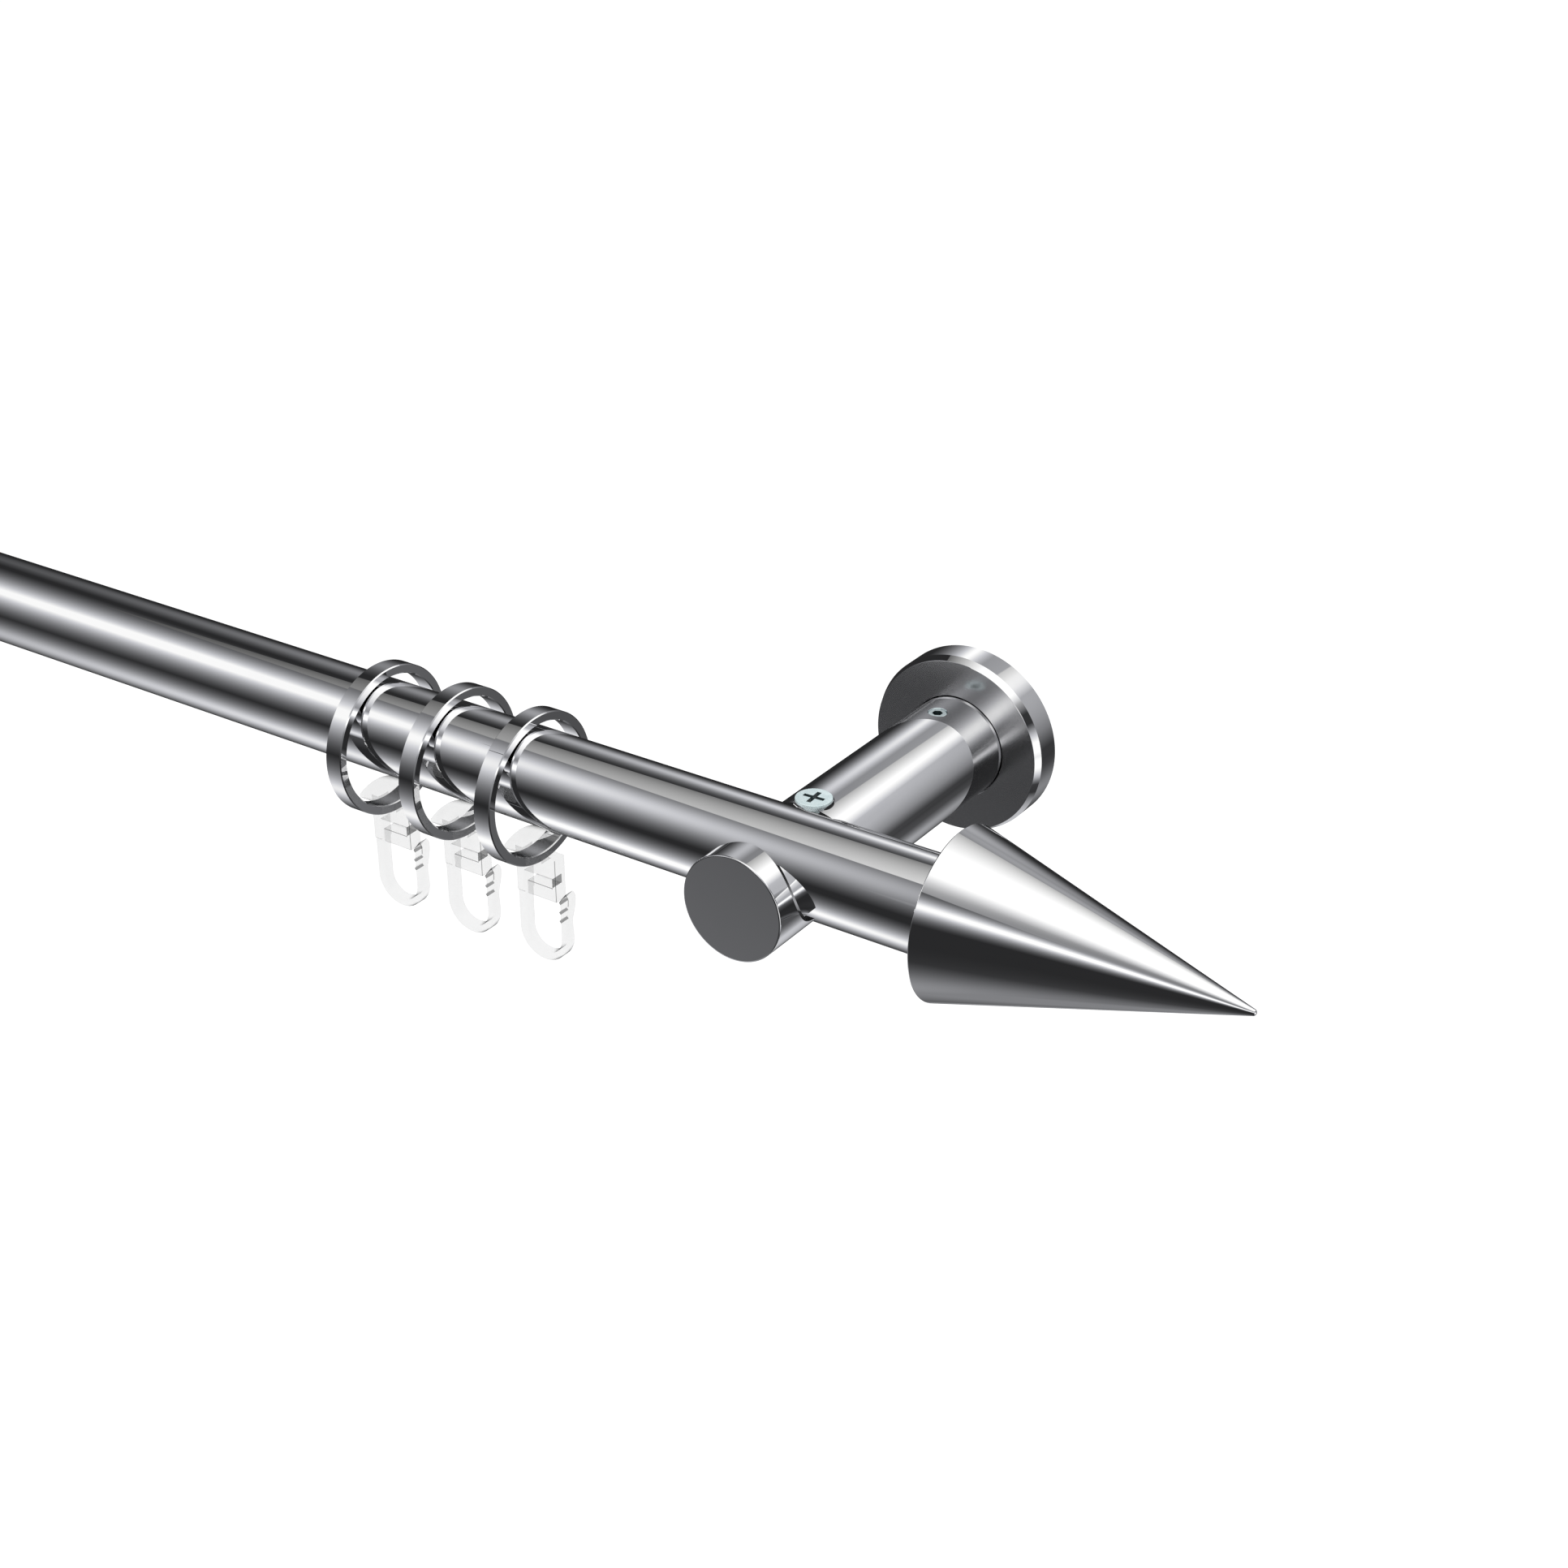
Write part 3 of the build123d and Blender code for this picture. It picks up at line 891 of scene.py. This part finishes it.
def cut(solid: bmesh.types.BMesh, *cutters: bmesh.types.BMesh) -> bmesh.types.BMesh:
    """Takes cutters away from a solid.

    Args:
        solid: The solid, which is freed.
        cutters: What is taken away, freed as well.

    Returns:
        The solid with its cuts.
    """
    shapes = []
    for mesh in (solid, *cutters):
        data = bpy.data.meshes.new("shape")
        mesh.to_mesh(data)
        mesh.free()
        shape = bpy.data.objects.new("shape", data)
        bpy.context.scene.collection.objects.link(shape)
        shapes.append(shape)
    for shape in shapes[1:]:
        modifier = shapes[0].modifiers.new("cut", "BOOLEAN")
        modifier.operation, modifier.solver, modifier.object = "DIFFERENCE", "EXACT", shape
    left = bpy.data.meshes.new_from_object(shapes[0].evaluated_get(bpy.context.evaluated_depsgraph_get()))
    result = bmesh.new()
    result.from_mesh(left)
    bpy.data.meshes.remove(left)
    for shape in shapes:
        bpy.data.meshes.remove(shape.data)
    return result


def part_off(mesh: bmesh.types.BMesh, place: Vector, away: Vector) -> None:
    """Cuts a solid with a plane, and closes the cut.

    Args:
        mesh: The solid.
        place: A point of the plane.
        away: The plane's normal, towards what is taken off.
    """
    shape = mesh.verts[:] + mesh.edges[:] + mesh.faces[:]
    section = bmesh.ops.bisect_plane(
        mesh, geom=shape, dist=SAME_PLACE, plane_co=place, plane_no=away, clear_outer=True
    )
    rim = [element for element in section["geom_cut"] if isinstance(element, bmesh.types.BMEdge)]
    bmesh.ops.edgenet_fill(mesh, edges=rim)
    bmesh.ops.recalc_face_normals(mesh, faces=mesh.faces)


def join(mesh: bmesh.types.BMesh, other: bmesh.types.BMesh) -> None:
    """Adds another mesh to a mesh.

    Args:
        mesh: The mesh that it is added to.
        other: The mesh that is added, and freed.
    """
    data = bpy.data.meshes.new("joined")
    other.to_mesh(data)
    other.free()
    mesh.from_mesh(data)
    bpy.data.meshes.remove(data)


def copied(node: str, doubles: float = 1e-6, flat: float = 0.5) -> bmesh.types.BMesh:
    """A CAD node's mesh, merged and with whole flat faces.

    Args:
        node: The CAD node's name.
        doubles: How far apart points are that are merged.
        flat: The largest angle in degrees that counts as flat.

    Returns:
        The copy, in the frame's own place.
    """
    source = bpy.data.objects[node]
    mesh = bmesh.new()
    mesh.from_mesh(source.data)
    mesh.transform(source.matrix_world)
    bmesh.ops.remove_doubles(mesh, verts=mesh.verts, dist=doubles)
    bmesh.ops.dissolve_limit(mesh, angle_limit=math.radians(flat), verts=mesh.verts, edges=mesh.edges)
    return mesh


def round_edges(
    mesh: bmesh.types.BMesh, radius: float, sharpness: float = 30.0, segments: int = 3
) -> list[bmesh.types.BMFace]:
    """Rounds a mesh's sharp edges.

    Args:
        mesh: The mesh.
        radius: How far back the rounding starts.
        sharpness: The smallest angle in degrees of an edge that is rounded.
        segments: How many facets each rounding has.

    Returns:
        The roundings' faces.
    """
    limit = math.radians(sharpness)
    edges = [edge for edge in mesh.edges if len(edge.link_faces) == 2 and edge.calc_face_angle() > limit]
    rounded = bmesh.ops.bevel(
        mesh, geom=edges, offset=radius, offset_type="OFFSET", affect="EDGES", segments=segments, profile=0.5,
        material=-1, clamp_overlap=True,
    )
    return rounded["faces"]


def finished(
    name: str,
    mesh: bmesh.types.BMesh,
    *finishes: Finish,
    smooth: float | None = None,
    rounds: tuple[Round, ...] = (),
) -> bpy.types.Object:
    """Turns a finished bmesh into an object.

    Args:
        name: The piece's name.
        mesh: Its mesh, which is freed.
        finishes: Its finishes, in the order of its faces' material numbers.
        smooth: Edges flatter than this many degrees are shaded smooth, or None for a faceted one.
        rounds: The round surfaces that its facets stand for, for a piece with cuts.

    Returns:
        The object, at the origin.
    """
    data = bpy.data.meshes.new(name)
    for face in mesh.faces:
        face.smooth = smooth is not None or bool(rounds)
    if smooth is not None:
        for edge in mesh.edges:
            edge.smooth = len(edge.link_faces) != 2 or edge.calc_face_angle() < math.radians(smooth)
    mesh.to_mesh(data)
    mesh.free()
    if rounds:
        data.normals_split_custom_set(round_normals(data, rounds))
    piece = bpy.data.objects.new(name, data)
    bpy.context.scene.collection.objects.link(piece)
    for finish in finishes:
        data.materials.append(finish.material())
    return piece


def round_normals(data: bpy.types.Mesh, rounds: tuple[Round, ...]) -> list[Vector]:
    """The normals of the round surfaces that a mesh's facets stand for.

    Args:
        data: The mesh.
        rounds: Its round surfaces.

    Returns:
        One normal for each corner of each face.
    """
    normals = []
    for face in data.polygons:
        places = [data.vertices[index].co for index in face.vertices]
        found = next((shape for shape in rounds if shape.holds(places)), None)
        for place in places:
            normals.append(found.normal(place, face.normal) if found else face.normal.copy())
    return normals


def put(piece: bpy.types.Object, body: str, slot: str, *nodes: str) -> bpy.types.Object:
    """Sets a new piece on its body, in the place of CAD nodes.

    Args:
        piece: The piece.
        body: The body that carries it.
        slot: The record's material slot that its finish stands for; it is not used.
        nodes: The CAD nodes that it replaces.

    Returns:
        The piece.
    """
    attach(piece, body)
    if nodes:
        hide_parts(*nodes)
    LOG.info("%s rides on %s in place of %s", piece.name, body, ", ".join(nodes) or "nothing")
    return piece


@dataclass(frozen=True)
class Extent:
    """A CAD node's box."""

    low: Vector
    high: Vector

    @classmethod
    def of(cls, node: str) -> "Extent":
        """The box of one CAD node."""
        low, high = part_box(node)
        return cls(Vector(low), Vector(high))

    @property
    def middle(self) -> Vector:
        """The box's middle."""
        return (self.low + self.high) / 2

    @property
    def size(self) -> Vector:
        """The box's three sides."""
        return self.high - self.low


@dataclass
class Rod:
    """The chromed tube, with a pilot hole under each clamp screw."""

    wall: float = 1.0 * MM
    edge: float = 0.12 * MM
    pilot_radius: float = 2.25 * MM

    def build(self) -> bpy.types.Object:
        """Makes the tube.

        Returns:
            The rod's piece.
        """
        box = Extent.of("rod")
        radius, start, stop = box.size.z / 2, box.low.x, box.high.x
        bore = radius - self.wall
        profile = [
            (start + self.edge, radius),
            (stop - self.edge, radius),
            (stop, radius - self.edge),
            (stop, bore),
            (start, bore),
            (start, radius - self.edge),
        ]
        centre = Vector((0.0, box.middle.y, box.middle.z))
        holes = []
        for side in Side:
            screw = Extent.of(f"clamp_screw_{side.value}")
            foot = Vector((screw.middle.x, screw.middle.y, screw.low.z))
            holes.append(bar(foot, UP, self.pilot_radius, 0.0, radius))
        mesh = cut(turned(profile, centre, ALONG_ROD, closed=True), *holes)
        rounds = (
            Round(centre, ALONG_ROD, radius, radius),
            Round(centre, ALONG_ROD, bore, bore),
            Round(centre, ALONG_ROD, radius - self.edge, radius),
        )
        return put(finished("fine_rod", mesh, CHROME, rounds=rounds), "bracketed_rod", "chrome", "rod")


@dataclass
class Arm:
    """The bracket's arm: a round bar, slotted across for the rod, with a pad in the slot's wider front."""

    side: Side
    edge: float = 0.3 * MM
    seat_clearance: float = 0.05 * MM
    entry_wider: float = 0.79 * MM
    entry_forward: float = 6.56 * MM
    entry_up: float = 5.18 * MM
    socket_radius: float = 8.0 * MM
    socket_depth: float = 20.0 * MM
    recess_radius: float = 4.0 * MM
    recess_depth: float = 0.9 * MM
    screw_hole: float = 2.05 * MM
    head_before_rod: float = 9.0 * MM
    bar_behind_rod: float = 14.0 * MM
    pad_gap: float = 0.62 * MM
    pad_from_rod: float = 9.6 * MM
    pad_foot: float = 2.0 * MM
    pad_tilt: float = 30.2
    pin_radius: float = 1.5 * MM
    node: str = field(init=False)
    radius: float = field(init=False)
    back: float = field(init=False)
    front: float = field(init=False)
    centre: Vector = field(init=False)
    seat: Vector = field(init=False)
    seat_radius: float = field(init=False)
    entry: Vector = field(init=False)
    entry_radius: float = field(init=False)
    recess: Vector = field(init=False)
    grub: Vector = field(init=False)

    def __post_init__(self) -> None:
        """Reads the places that the cuts are set out from."""
        self.node = f"arm_{self.side.value}"
        box, rod = Extent.of(self.node), Extent.of("rod")
        self.radius, self.back, self.front = box.size.x / 2, box.high.y, box.low.y
        self.centre = Vector((box.middle.x, 0.0, 0.0))
        self.seat = Vector((box.middle.x, rod.middle.y, 0.0))
        self.seat_radius = rod.size.z / 2 + self.seat_clearance
        self.entry = self.seat + Vector((0.0, -self.entry_forward, self.entry_up))
        self.entry_radius = self.seat_radius + self.entry_wider
        self.recess = Vector((box.middle.x, Extent.of(f"clamp_screw_{self.side.value}").middle.y, 0.0))
        self.grub = Vector((box.middle.x, Extent.of(f"grub_screw_{self.side.value}").middle.y, 0.0))

    def build(self) -> None:
        """Makes the bar in its three stretches, and the pad."""
        whole = self.build_bar()
        saddle_start = self.seat.y - self.head_before_rod
        saddle_stop = self.seat.y + self.bar_behind_rod
        stretches = {
            f"fine_{self.node}": (saddle_stop, None),
            f"saddle_{self.side.value}": (saddle_start, saddle_stop),
            f"head_{self.side.value}": (None, saddle_start),
        }
        for name, (start, stop) in stretches.items():
            mesh = whole.copy()
            if start is not None:
                part_off(mesh, Vector((0.0, start, 0.0)), -INTO_WALL)
            if stop is not None:
                part_off(mesh, Vector((0.0, stop, 0.0)), INTO_WALL)
            # The cuts' faces take the bore's painted shade
            piece = finished(name, mesh, CHROME, PAINTED_SHADE_BORE, rounds=self.rounds())
            # The rod's chrome mirrors neither the saddle nor the head
            piece.visible_glossy = stop is None
            put(piece, "bracketed_rod", "chrome", self.node)
        whole.free()
        self.build_pad()

    def build_bar(self) -> bmesh.types.BMesh:
        """Makes the whole bar with its cuts.

        Returns:
            The bar, its cuts marked for the painted shade.
        """
        profile = [
            (self.back - self.socket_depth, 0.0),
            (self.back - self.socket_depth, self.socket_radius),
            (self.back, self.socket_radius),
            (self.back, self.radius),
            *[(self.front - along, out) for along, out in quarter_round(0.0, self.radius, self.edge)],
            (self.front, 0.0),
        ]
        reach = 2 * self.radius
        floor = self.radius - self.recess_depth
        cone = self.recess_radius - self.screw_hole
        countersink = [
            (0.0, 0.0),
            (0.0, self.screw_hole),
            (floor - cone + self.seat_clearance, self.screw_hole),
            (floor, self.recess_radius - self.seat_clearance),
            (floor, self.recess_radius),
            (reach, self.recess_radius),
            (reach, 0.0),
        ]
        mesh = cut(
            turned(profile, self.centre, INTO_WALL),
            bar(self.seat, ALONG_ROD, self.seat_radius, -reach, reach),
            bar(self.entry, ALONG_ROD, self.entry_radius, -reach, reach),
            turned(countersink, self.recess, UP),
            bar(self.grub, UP, self.screw_hole, 0.0, reach),
        )
        # The faces of the slot, the recess and the screw hole take painted shade
        dark = self.cuts()
        for face in mesh.faces:
            places = [vertex.co for vertex in face.verts]
            face.material_index = int(any(shape.holds(places) for shape in dark))
        return mesh

    def skin(self) -> Round:
        """The bar's own round surface."""
        return Round(self.centre, INTO_WALL, self.radius, self.radius)

    def cuts(self) -> tuple[Round, ...]:
        """The round surfaces of the slot and the recess.

        Returns:
            Those that take painted shade.
        """
        return (
            Round(self.seat, ALONG_ROD, self.seat_radius, self.seat_radius),
            Round(self.entry, ALONG_ROD, self.entry_radius, self.entry_radius),
            Round(self.recess, UP, self.recess_radius, self.recess_radius),
            Round(self.recess, UP, self.screw_hole, self.screw_hole),
        )

    def rounds(self) -> tuple[Round, ...]:
        """All of the bar's round surfaces.

        Returns:
            Its own, its cuts, its socket and its front's rounded edge.
        """
        socket = Round(self.centre, INTO_WALL, self.socket_radius, self.socket_radius)
        rim = Round(self.centre, INTO_WALL, self.radius - self.edge, self.radius)
        return self.skin(), *self.cuts(), socket, rim

    def build_pad(self) -> bpy.types.Object:
        """Makes the pad that fills the slot's front, flush with the bar and held on a pin in the head.

        Returns:
            The pad.
        """
        pad_radius = self.entry_radius - self.pad_gap
        reach = 2 * self.radius
        mesh = bar(self.entry, ALONG_ROD, pad_radius, -reach, reach)
        tilt = math.radians(self.pad_tilt)
        flat = Vector((0.0, -math.cos(tilt), -math.sin(tilt)))
        part_off(mesh, self.seat + flat * self.pad_from_rod, -flat)
        part_off(mesh, self.seat - UP * self.pad_foot, -UP)
        far = 3 * self.radius
        sleeve = [(-reach, self.radius), (reach, self.radius), (reach, far), (-reach, far)]
        outside = turned(sleeve, self.seat, INTO_WALL, closed=True)
        mesh = cut(mesh, outside, bar(self.seat, ALONG_ROD, self.seat_radius, -reach, reach))
        pin_start = -pad_radius - 2 * self.pad_gap
        join(mesh, bar(self.entry, INTO_WALL, self.pin_radius, pin_start, -pad_radius + self.pad_gap))
        skin = self.skin()
        # The pad's faces off the bar's skin take painted shade, the dark gap round the pad
        for face in mesh.faces:
            depths = [abs(skin.away(vertex.co).length - self.radius) for vertex in face.verts]
            face.material_index = int(min(depths) > NEAR)
        rounds = (skin, Round(self.entry, ALONG_ROD, pad_radius, pad_radius))
        piece = finished(f"slot_pad_{self.side.value}", mesh, CHROME, PAINTED_SHADE_BORE, rounds=rounds)
        piece.visible_glossy = False
        put(piece, "bracketed_rod", "chrome")
        return piece


@dataclass
class ClampScrew:
    """The countersunk clamp screw, with a rounded rim and a tapered cross recess."""

    side: Side
    rim: float = 0.55 * MM
    rim_edge: float = 0.18 * MM
    shank: float = 1.95 * MM
    point: float = 1.6 * MM
    cross_span: float = 4.5 * MM
    cross_slot: float = 0.95 * MM
    cross_depth: float = 1.4 * MM
    cross_foot: float = 0.72
    cross_flare: float = 0.9
    cross_turn: float = 4.0
    cross_reach: float = 2.34 * MM
    cross_spare: float = 0.14 * MM
    steps: int = 128

    def build(self) -> bpy.types.Object:
        """Makes the screw.

        Returns:
            The screw's piece.
        """
        node = f"clamp_screw_{self.side.value}"
        box = Extent.of(node)
        radius, top, end = box.size.x / 2, box.high.z, box.low.z
        cone_top = top - self.rim
        profile = [
            (end, 0.0),
            (end + self.point, self.shank),
            (cone_top - radius + self.shank, self.shank),
            (cone_top, radius),
            *quarter_round(top, radius, self.rim_edge),
            (top, 0.0),
        ]
        centre = Vector((box.middle.x, box.middle.y, 0.0))
        mesh = turned(profile, centre, UP, steps=self.steps)
        for turn in (self.cross_turn, self.cross_turn + 90.0):
            mesh = cut(mesh, self.build_wing(Vector((centre.x, centre.y, top)), turn))
        # Faces sunk in the cross recess take painted shade
        for face in mesh.faces:
            middle = face.calc_center_median()
            sunk = NEAR < top - middle.z < self.cross_depth + self.cross_spare
            face.material_index = int(sunk and (middle.xy - centre.xy).length < self.cross_reach)
        piece = finished(f"fine_{node}", mesh, SCREW_ZINC, PAINTED_SHADE_RECESS, smooth=30.0)
        piece.visible_glossy = False
        return put(piece, "bracketed_rod", "zinc_screw", node)

    def build_wing(self, top: Vector, turn: float) -> bmesh.types.BMesh:
        """Makes one of the cross recess's two crossing wedges.

        Args:
            top: The middle of the head's top.
            turn: The wedge's turn about the screw in degrees.

        Returns:
            The wedge, open upwards past the head's top.
        """
        wing = bmesh.new()
        spare = self.cross_depth / 4
        foot = self.cross_foot / math.sqrt(2)
        mouth = foot + (1.0 - self.cross_foot) * self.cross_flare
        height = self.cross_depth + spare
        bmesh.ops.create_cone(wing, cap_ends=True, segments=4, radius1=foot, radius2=mouth, depth=height)
        bmesh.ops.rotate(wing, verts=wing.verts, matrix=Matrix.Rotation(math.pi / 4, 3, "Z"))
        bmesh.ops.scale(wing, verts=wing.verts, vec=(self.cross_span, self.cross_slot, 1.0))
        bmesh.ops.rotate(wing, verts=wing.verts, matrix=Matrix.Rotation(math.radians(turn), 3, "Z"))
        bmesh.ops.translate(wing, verts=wing.verts, vec=top + UP * (spare - self.cross_depth) / 2)
        bmesh.ops.recalc_face_normals(wing, faces=wing.faces)
        return wing


@dataclass
class GrubScrew:
    """The socket set screw that holds the arm on its peg."""

    side: Side
    edge: float = 0.35 * MM
    socket_radius: float = 1.16 * MM
    socket_depth: float = 1.8 * MM
    socket_sides: int = 6
    steps: int = 96

    def build(self) -> bpy.types.Object:
        """Makes the screw.

        Returns:
            The screw's piece.
        """
        node = f"grub_screw_{self.side.value}"
        box = Extent.of(node)
        radius, top, foot = box.size.x / 2, box.high.z, box.low.z
        centre = Vector((box.middle.x, box.middle.y, 0.0))
        profile = [
            (foot, 0.0),
            (foot, radius - self.edge),
            (foot + self.edge, radius),
            *quarter_round(top, radius, self.edge),
            (top, 0.0),
        ]
        socket = [
            (top - self.socket_depth, 0.0),
            (top - self.socket_depth, self.socket_radius),
            (top + radius, self.socket_radius),
            (top + radius, 0.0),
        ]
        hexagon = turned(socket, centre, UP, steps=self.socket_sides)
        mesh = cut(turned(profile, centre, UP, steps=self.steps), hexagon)
        # Faces inside the hex socket take painted shade
        for face in mesh.faces:
            middle = face.calc_center_median()
            inside = (middle.xy - centre.xy).length < self.socket_radius
            face.material_index = int(inside and middle.z < top - NEAR)
        piece = finished(f"fine_{node}", mesh, GRUB_ZINC, PAINTED_SHADE_RECESS, smooth=30.0)
        return put(piece, "bracketed_rod", "zinc_screw", node)


@dataclass
class Rosette:
    """The bevelled cup over the wall plate, its front faced less finely than its sides, and darker there and
    on the countersink round the arm as painted shade.
    """

    side: Side
    bevel_width: float = 0.7 * MM
    bevel_depth: float = 1.75 * MM
    front_wall: float = 1.6 * MM
    side_wall: float = 1.3 * MM
    bore_clearance: float = 0.12 * MM
    countersink: float = 0.3 * MM
    edge: float = 0.05 * MM

    def build(self) -> bpy.types.Object:
        """Makes the cup.

        Returns:
            The rosette's piece.
        """
        node = f"rosette_{self.side.value}"
        box, arm = Extent.of(node), Extent.of(f"arm_{self.side.value}")
        rim, front = box.size.x / 2, box.low.y
        bore = arm.size.x / 2 + self.bore_clearance
        cup = rim - self.side_wall
        profile = [
            (front, bore + self.countersink),
            (front, rim - self.bevel_width - self.edge),
            (front + self.edge, rim - self.bevel_width),
            (front + self.bevel_depth - self.edge, rim),
            (front + self.bevel_depth + self.edge, rim),
            (-self.edge, rim),
            (0.0, rim - self.edge),
            (0.0, cup),
            (front + self.front_wall, cup),
            (front + self.front_wall, bore),
            (front + self.countersink, bore),
        ]
        centre = Vector((box.middle.x, 0.0, 0.0))
        mesh = turned(profile, centre, INTO_WALL, closed=True)
        # The front and the countersink round the arm take the darker chrome, painted shade over a satin
        # finish
        for face in mesh.faces:
            out = (face.calc_center_median() - centre).cross(INTO_WALL).length
            face.material_index = int(face.normal.y < -SQUARE_ON or out < bore + self.countersink)
        piece = finished(f"fine_{node}", mesh, CHROME, FACED_PAINTED_SHADE, smooth=12.0)
        return put(piece, "bracketed_rod", "chrome", node)


@dataclass
class Bracket:
    """One wall bracket: the arm with its two screws, the rosette and the wall plate."""

    side: Side

    def build(self) -> None:
        """Makes and dresses the bracket."""
        Arm(self.side).build()
        ClampScrew(self.side).build()
        Rosette(self.side).build()
        GrubScrew(self.side).build()
        dress(f"wall_plate_{self.side.value}", PLATE_ZINC)


@dataclass
class Finial:
    """One cone finial with its plug."""

    side: Side
    nose: float = 0.68 * MM
    edge: float = 0.25 * MM
    pin_hole: float = 4.05 * MM
    pin_depth: float = 13.0 * MM
    nose_steps: int = 8
    nose_tries: int = 8

    def build(self) -> None:
        """Makes the cone and dresses the plug."""
        node = f"cone_{self.side.value}"
        box = Extent.of(node)
        outwards = 1.0 if self.side is Side.RIGHT else -1.0
        base = box.low.x if self.side is Side.RIGHT else box.high.x
        radius, length = box.size.z / 2, box.size.x
        half = math.atan2(radius, length)
        # The cone's side touches the round nose, so its half angle is found by trying
        for _ in range(self.nose_tries):
            tip = length - self.nose + self.nose / math.sin(half)
            half = math.atan2(radius, tip)
        places = [(self.pin_depth, 0.0), (self.pin_depth, self.pin_hole), (0.0, self.pin_hole)]
        places += [(-along, out) for along, out in reversed(quarter_round(0.0, radius, self.edge))]
        for step in range(self.nose_steps + 1):
            turn = (math.pi / 2 - half) * (1 - step / self.nose_steps)
            places.append((length - self.nose + self.nose * math.cos(turn), self.nose * math.sin(turn)))
        profile = [(base + outwards * along, out) for along, out in places]
        mesh = turned(profile, Vector((0.0, box.middle.y, box.middle.z)), ALONG_ROD)
        put(finished(f"fine_{node}", mesh, CHROME, smooth=20.0), "bracketed_rod", "chrome", node)
        dress(f"plug_{self.side.value}", GREY_PLUG)


@dataclass
class RingAndHook:
    """One curtain ring with the clear hook that is clipped on it."""

    number: int
    band: float = 2.05 * MM
    edge: float = 0.22 * MM
    hook_rounding: float = 0.1 * MM
    bar_under_ring: float = 3.1 * MM
    latch_under_ring: float = 8.35 * MM
    latch_from_leg: float = 3.075 * MM
    stem_from_middle: float = 5.1 * MM
    stem_slope: float = 0.9
    teeth_from_leg: float = 11.1 * MM
    teeth_depth: float = 0.475 * MM
    teeth_height: float = 5.4 * MM
    tooth_slope: float = 0.3

    def build(self) -> None:
        """Makes the ring and its hook."""
        self.build_ring()
        self.build_hook()

    def build_ring(self) -> bpy.types.Object:
        """Makes the ring, a flat band with bevelled edges.

        Returns:
            The ring's piece.
        """
        node = f"ring_{self.number}"
        box = Extent.of(node)
        radius, half = box.size.z / 2, box.size.x / 2
        bore = radius - self.band
        profile = [
            (half - self.edge, radius),
            (half, radius - self.edge),
            (half, bore + self.edge),
            (half - self.edge, bore),
            (self.edge - half, bore),
            (-half, bore + self.edge),
            (-half, radius - self.edge),
            (self.edge - half, radius),
        ]
        mesh = turned(profile, box.middle, ALONG_ROD, closed=True)
        piece = finished(f"fine_{node}", mesh, CHROME, smooth=30.0)
        return put(piece, f"ring_body_{self.number}", "chrome", node)

    def build_hook(self) -> bpy.types.Object:
        """Makes the hook, with the rounded edges of a moulding and painted shade on its latch edges, stem and
        teeth.

        Returns:
            The hook's piece.
        """
        node = f"hook_{self.number}"
        ring, hook = Extent.of(f"ring_{self.number}"), Extent.of(node)
        mesh = copied(node)
        # Edge roundings on the latch's front, the stem's inner face and the teeth's undersides take painted
        # shade
        for face in round_edges(mesh, self.hook_rounding):
            face.material_index = int(self.on_latch(face.calc_center_median(), ring, hook))
        for face in mesh.faces:
            if self.on_stem(face, ring) or self.on_tooth(face, ring, hook):
                face.material_index = 1
        piece = finished(f"fine_{node}", mesh, CLEAR, PAINTED_SHADE_PLASTIC, smooth=35.0)
        return put(piece, f"hook_body_{self.number}", "clear_plastic", node)

    def on_latch(self, place: Vector, ring: Extent, hook: Extent) -> bool:
        """Tells whether a place is on the front of the latch, whose edges take painted shade as they catch no
        light.

        Args:
            place: The middle of one facet of an edge's rounding.
            ring: The ring's box.
            hook: The hook's box.

        Returns:
            Whether it is.
        """
        below = self.bar_under_ring < ring.low.z - place.z < self.latch_under_ring + NEAR
        beside = place.x - hook.low.x > self.latch_from_leg
        return below and beside and place.y < ring.middle.y

    def on_stem(self, face: bmesh.types.BMFace, ring: Extent) -> bool:
        """Whether a face is the inner one of the stem, which takes painted shade as it looks dark through the
        plastic.
        """
        stem = ring.middle.x + self.stem_from_middle
        return abs(face.calc_center_median().x - stem) < NEAR and face.normal.x < -self.stem_slope

    def on_tooth(self, face: bmesh.types.BMFace, ring: Extent, hook: Extent) -> bool:
        """Tells whether a face is the underside of a tooth, which takes painted shade as well.

        Args:
            face: The face.
            ring: The ring's box.
            hook: The hook's box.

        Returns:
            Whether it is.
        """
        place = face.calc_center_median()
        beside = abs(place.x - hook.low.x - self.teeth_from_leg) < self.teeth_depth
        below = 0.0 < ring.low.z - self.latch_under_ring - place.z < self.teeth_height
        return beside and below and max(face.normal.x, face.normal.z) < -self.tooth_slope


@dataclass
class Sizes:
    """The object's box straight after loading."""

    cad: list[list[float]] = field(default_factory=list)

    def note(self) -> None:
        """Keeps the CAD model's box."""
        self.cad = [list(corner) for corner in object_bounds()]

    def write(self) -> None:
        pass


def main() -> None:
    """Builds the camera, the studio and each sub-assembly."""
    logging.basicConfig(level=logging.INFO, format="%(message)s")
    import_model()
    sizes = Sizes()
    sizes.note()
    bpy.context.scene.view_settings.view_transform = "Standard"
    Camera().build()
    studio = Studio()
    studio.build_light()
    studio.build_floor()
    studio.build_tent()
    Rod().build()
    for side in Side:
        Bracket(side).build()
        Finial(side).build()
    for number in RING_NUMBERS:
        RingAndHook(number).build()
    sizes.write()


if __name__ == "__main__":
    main()
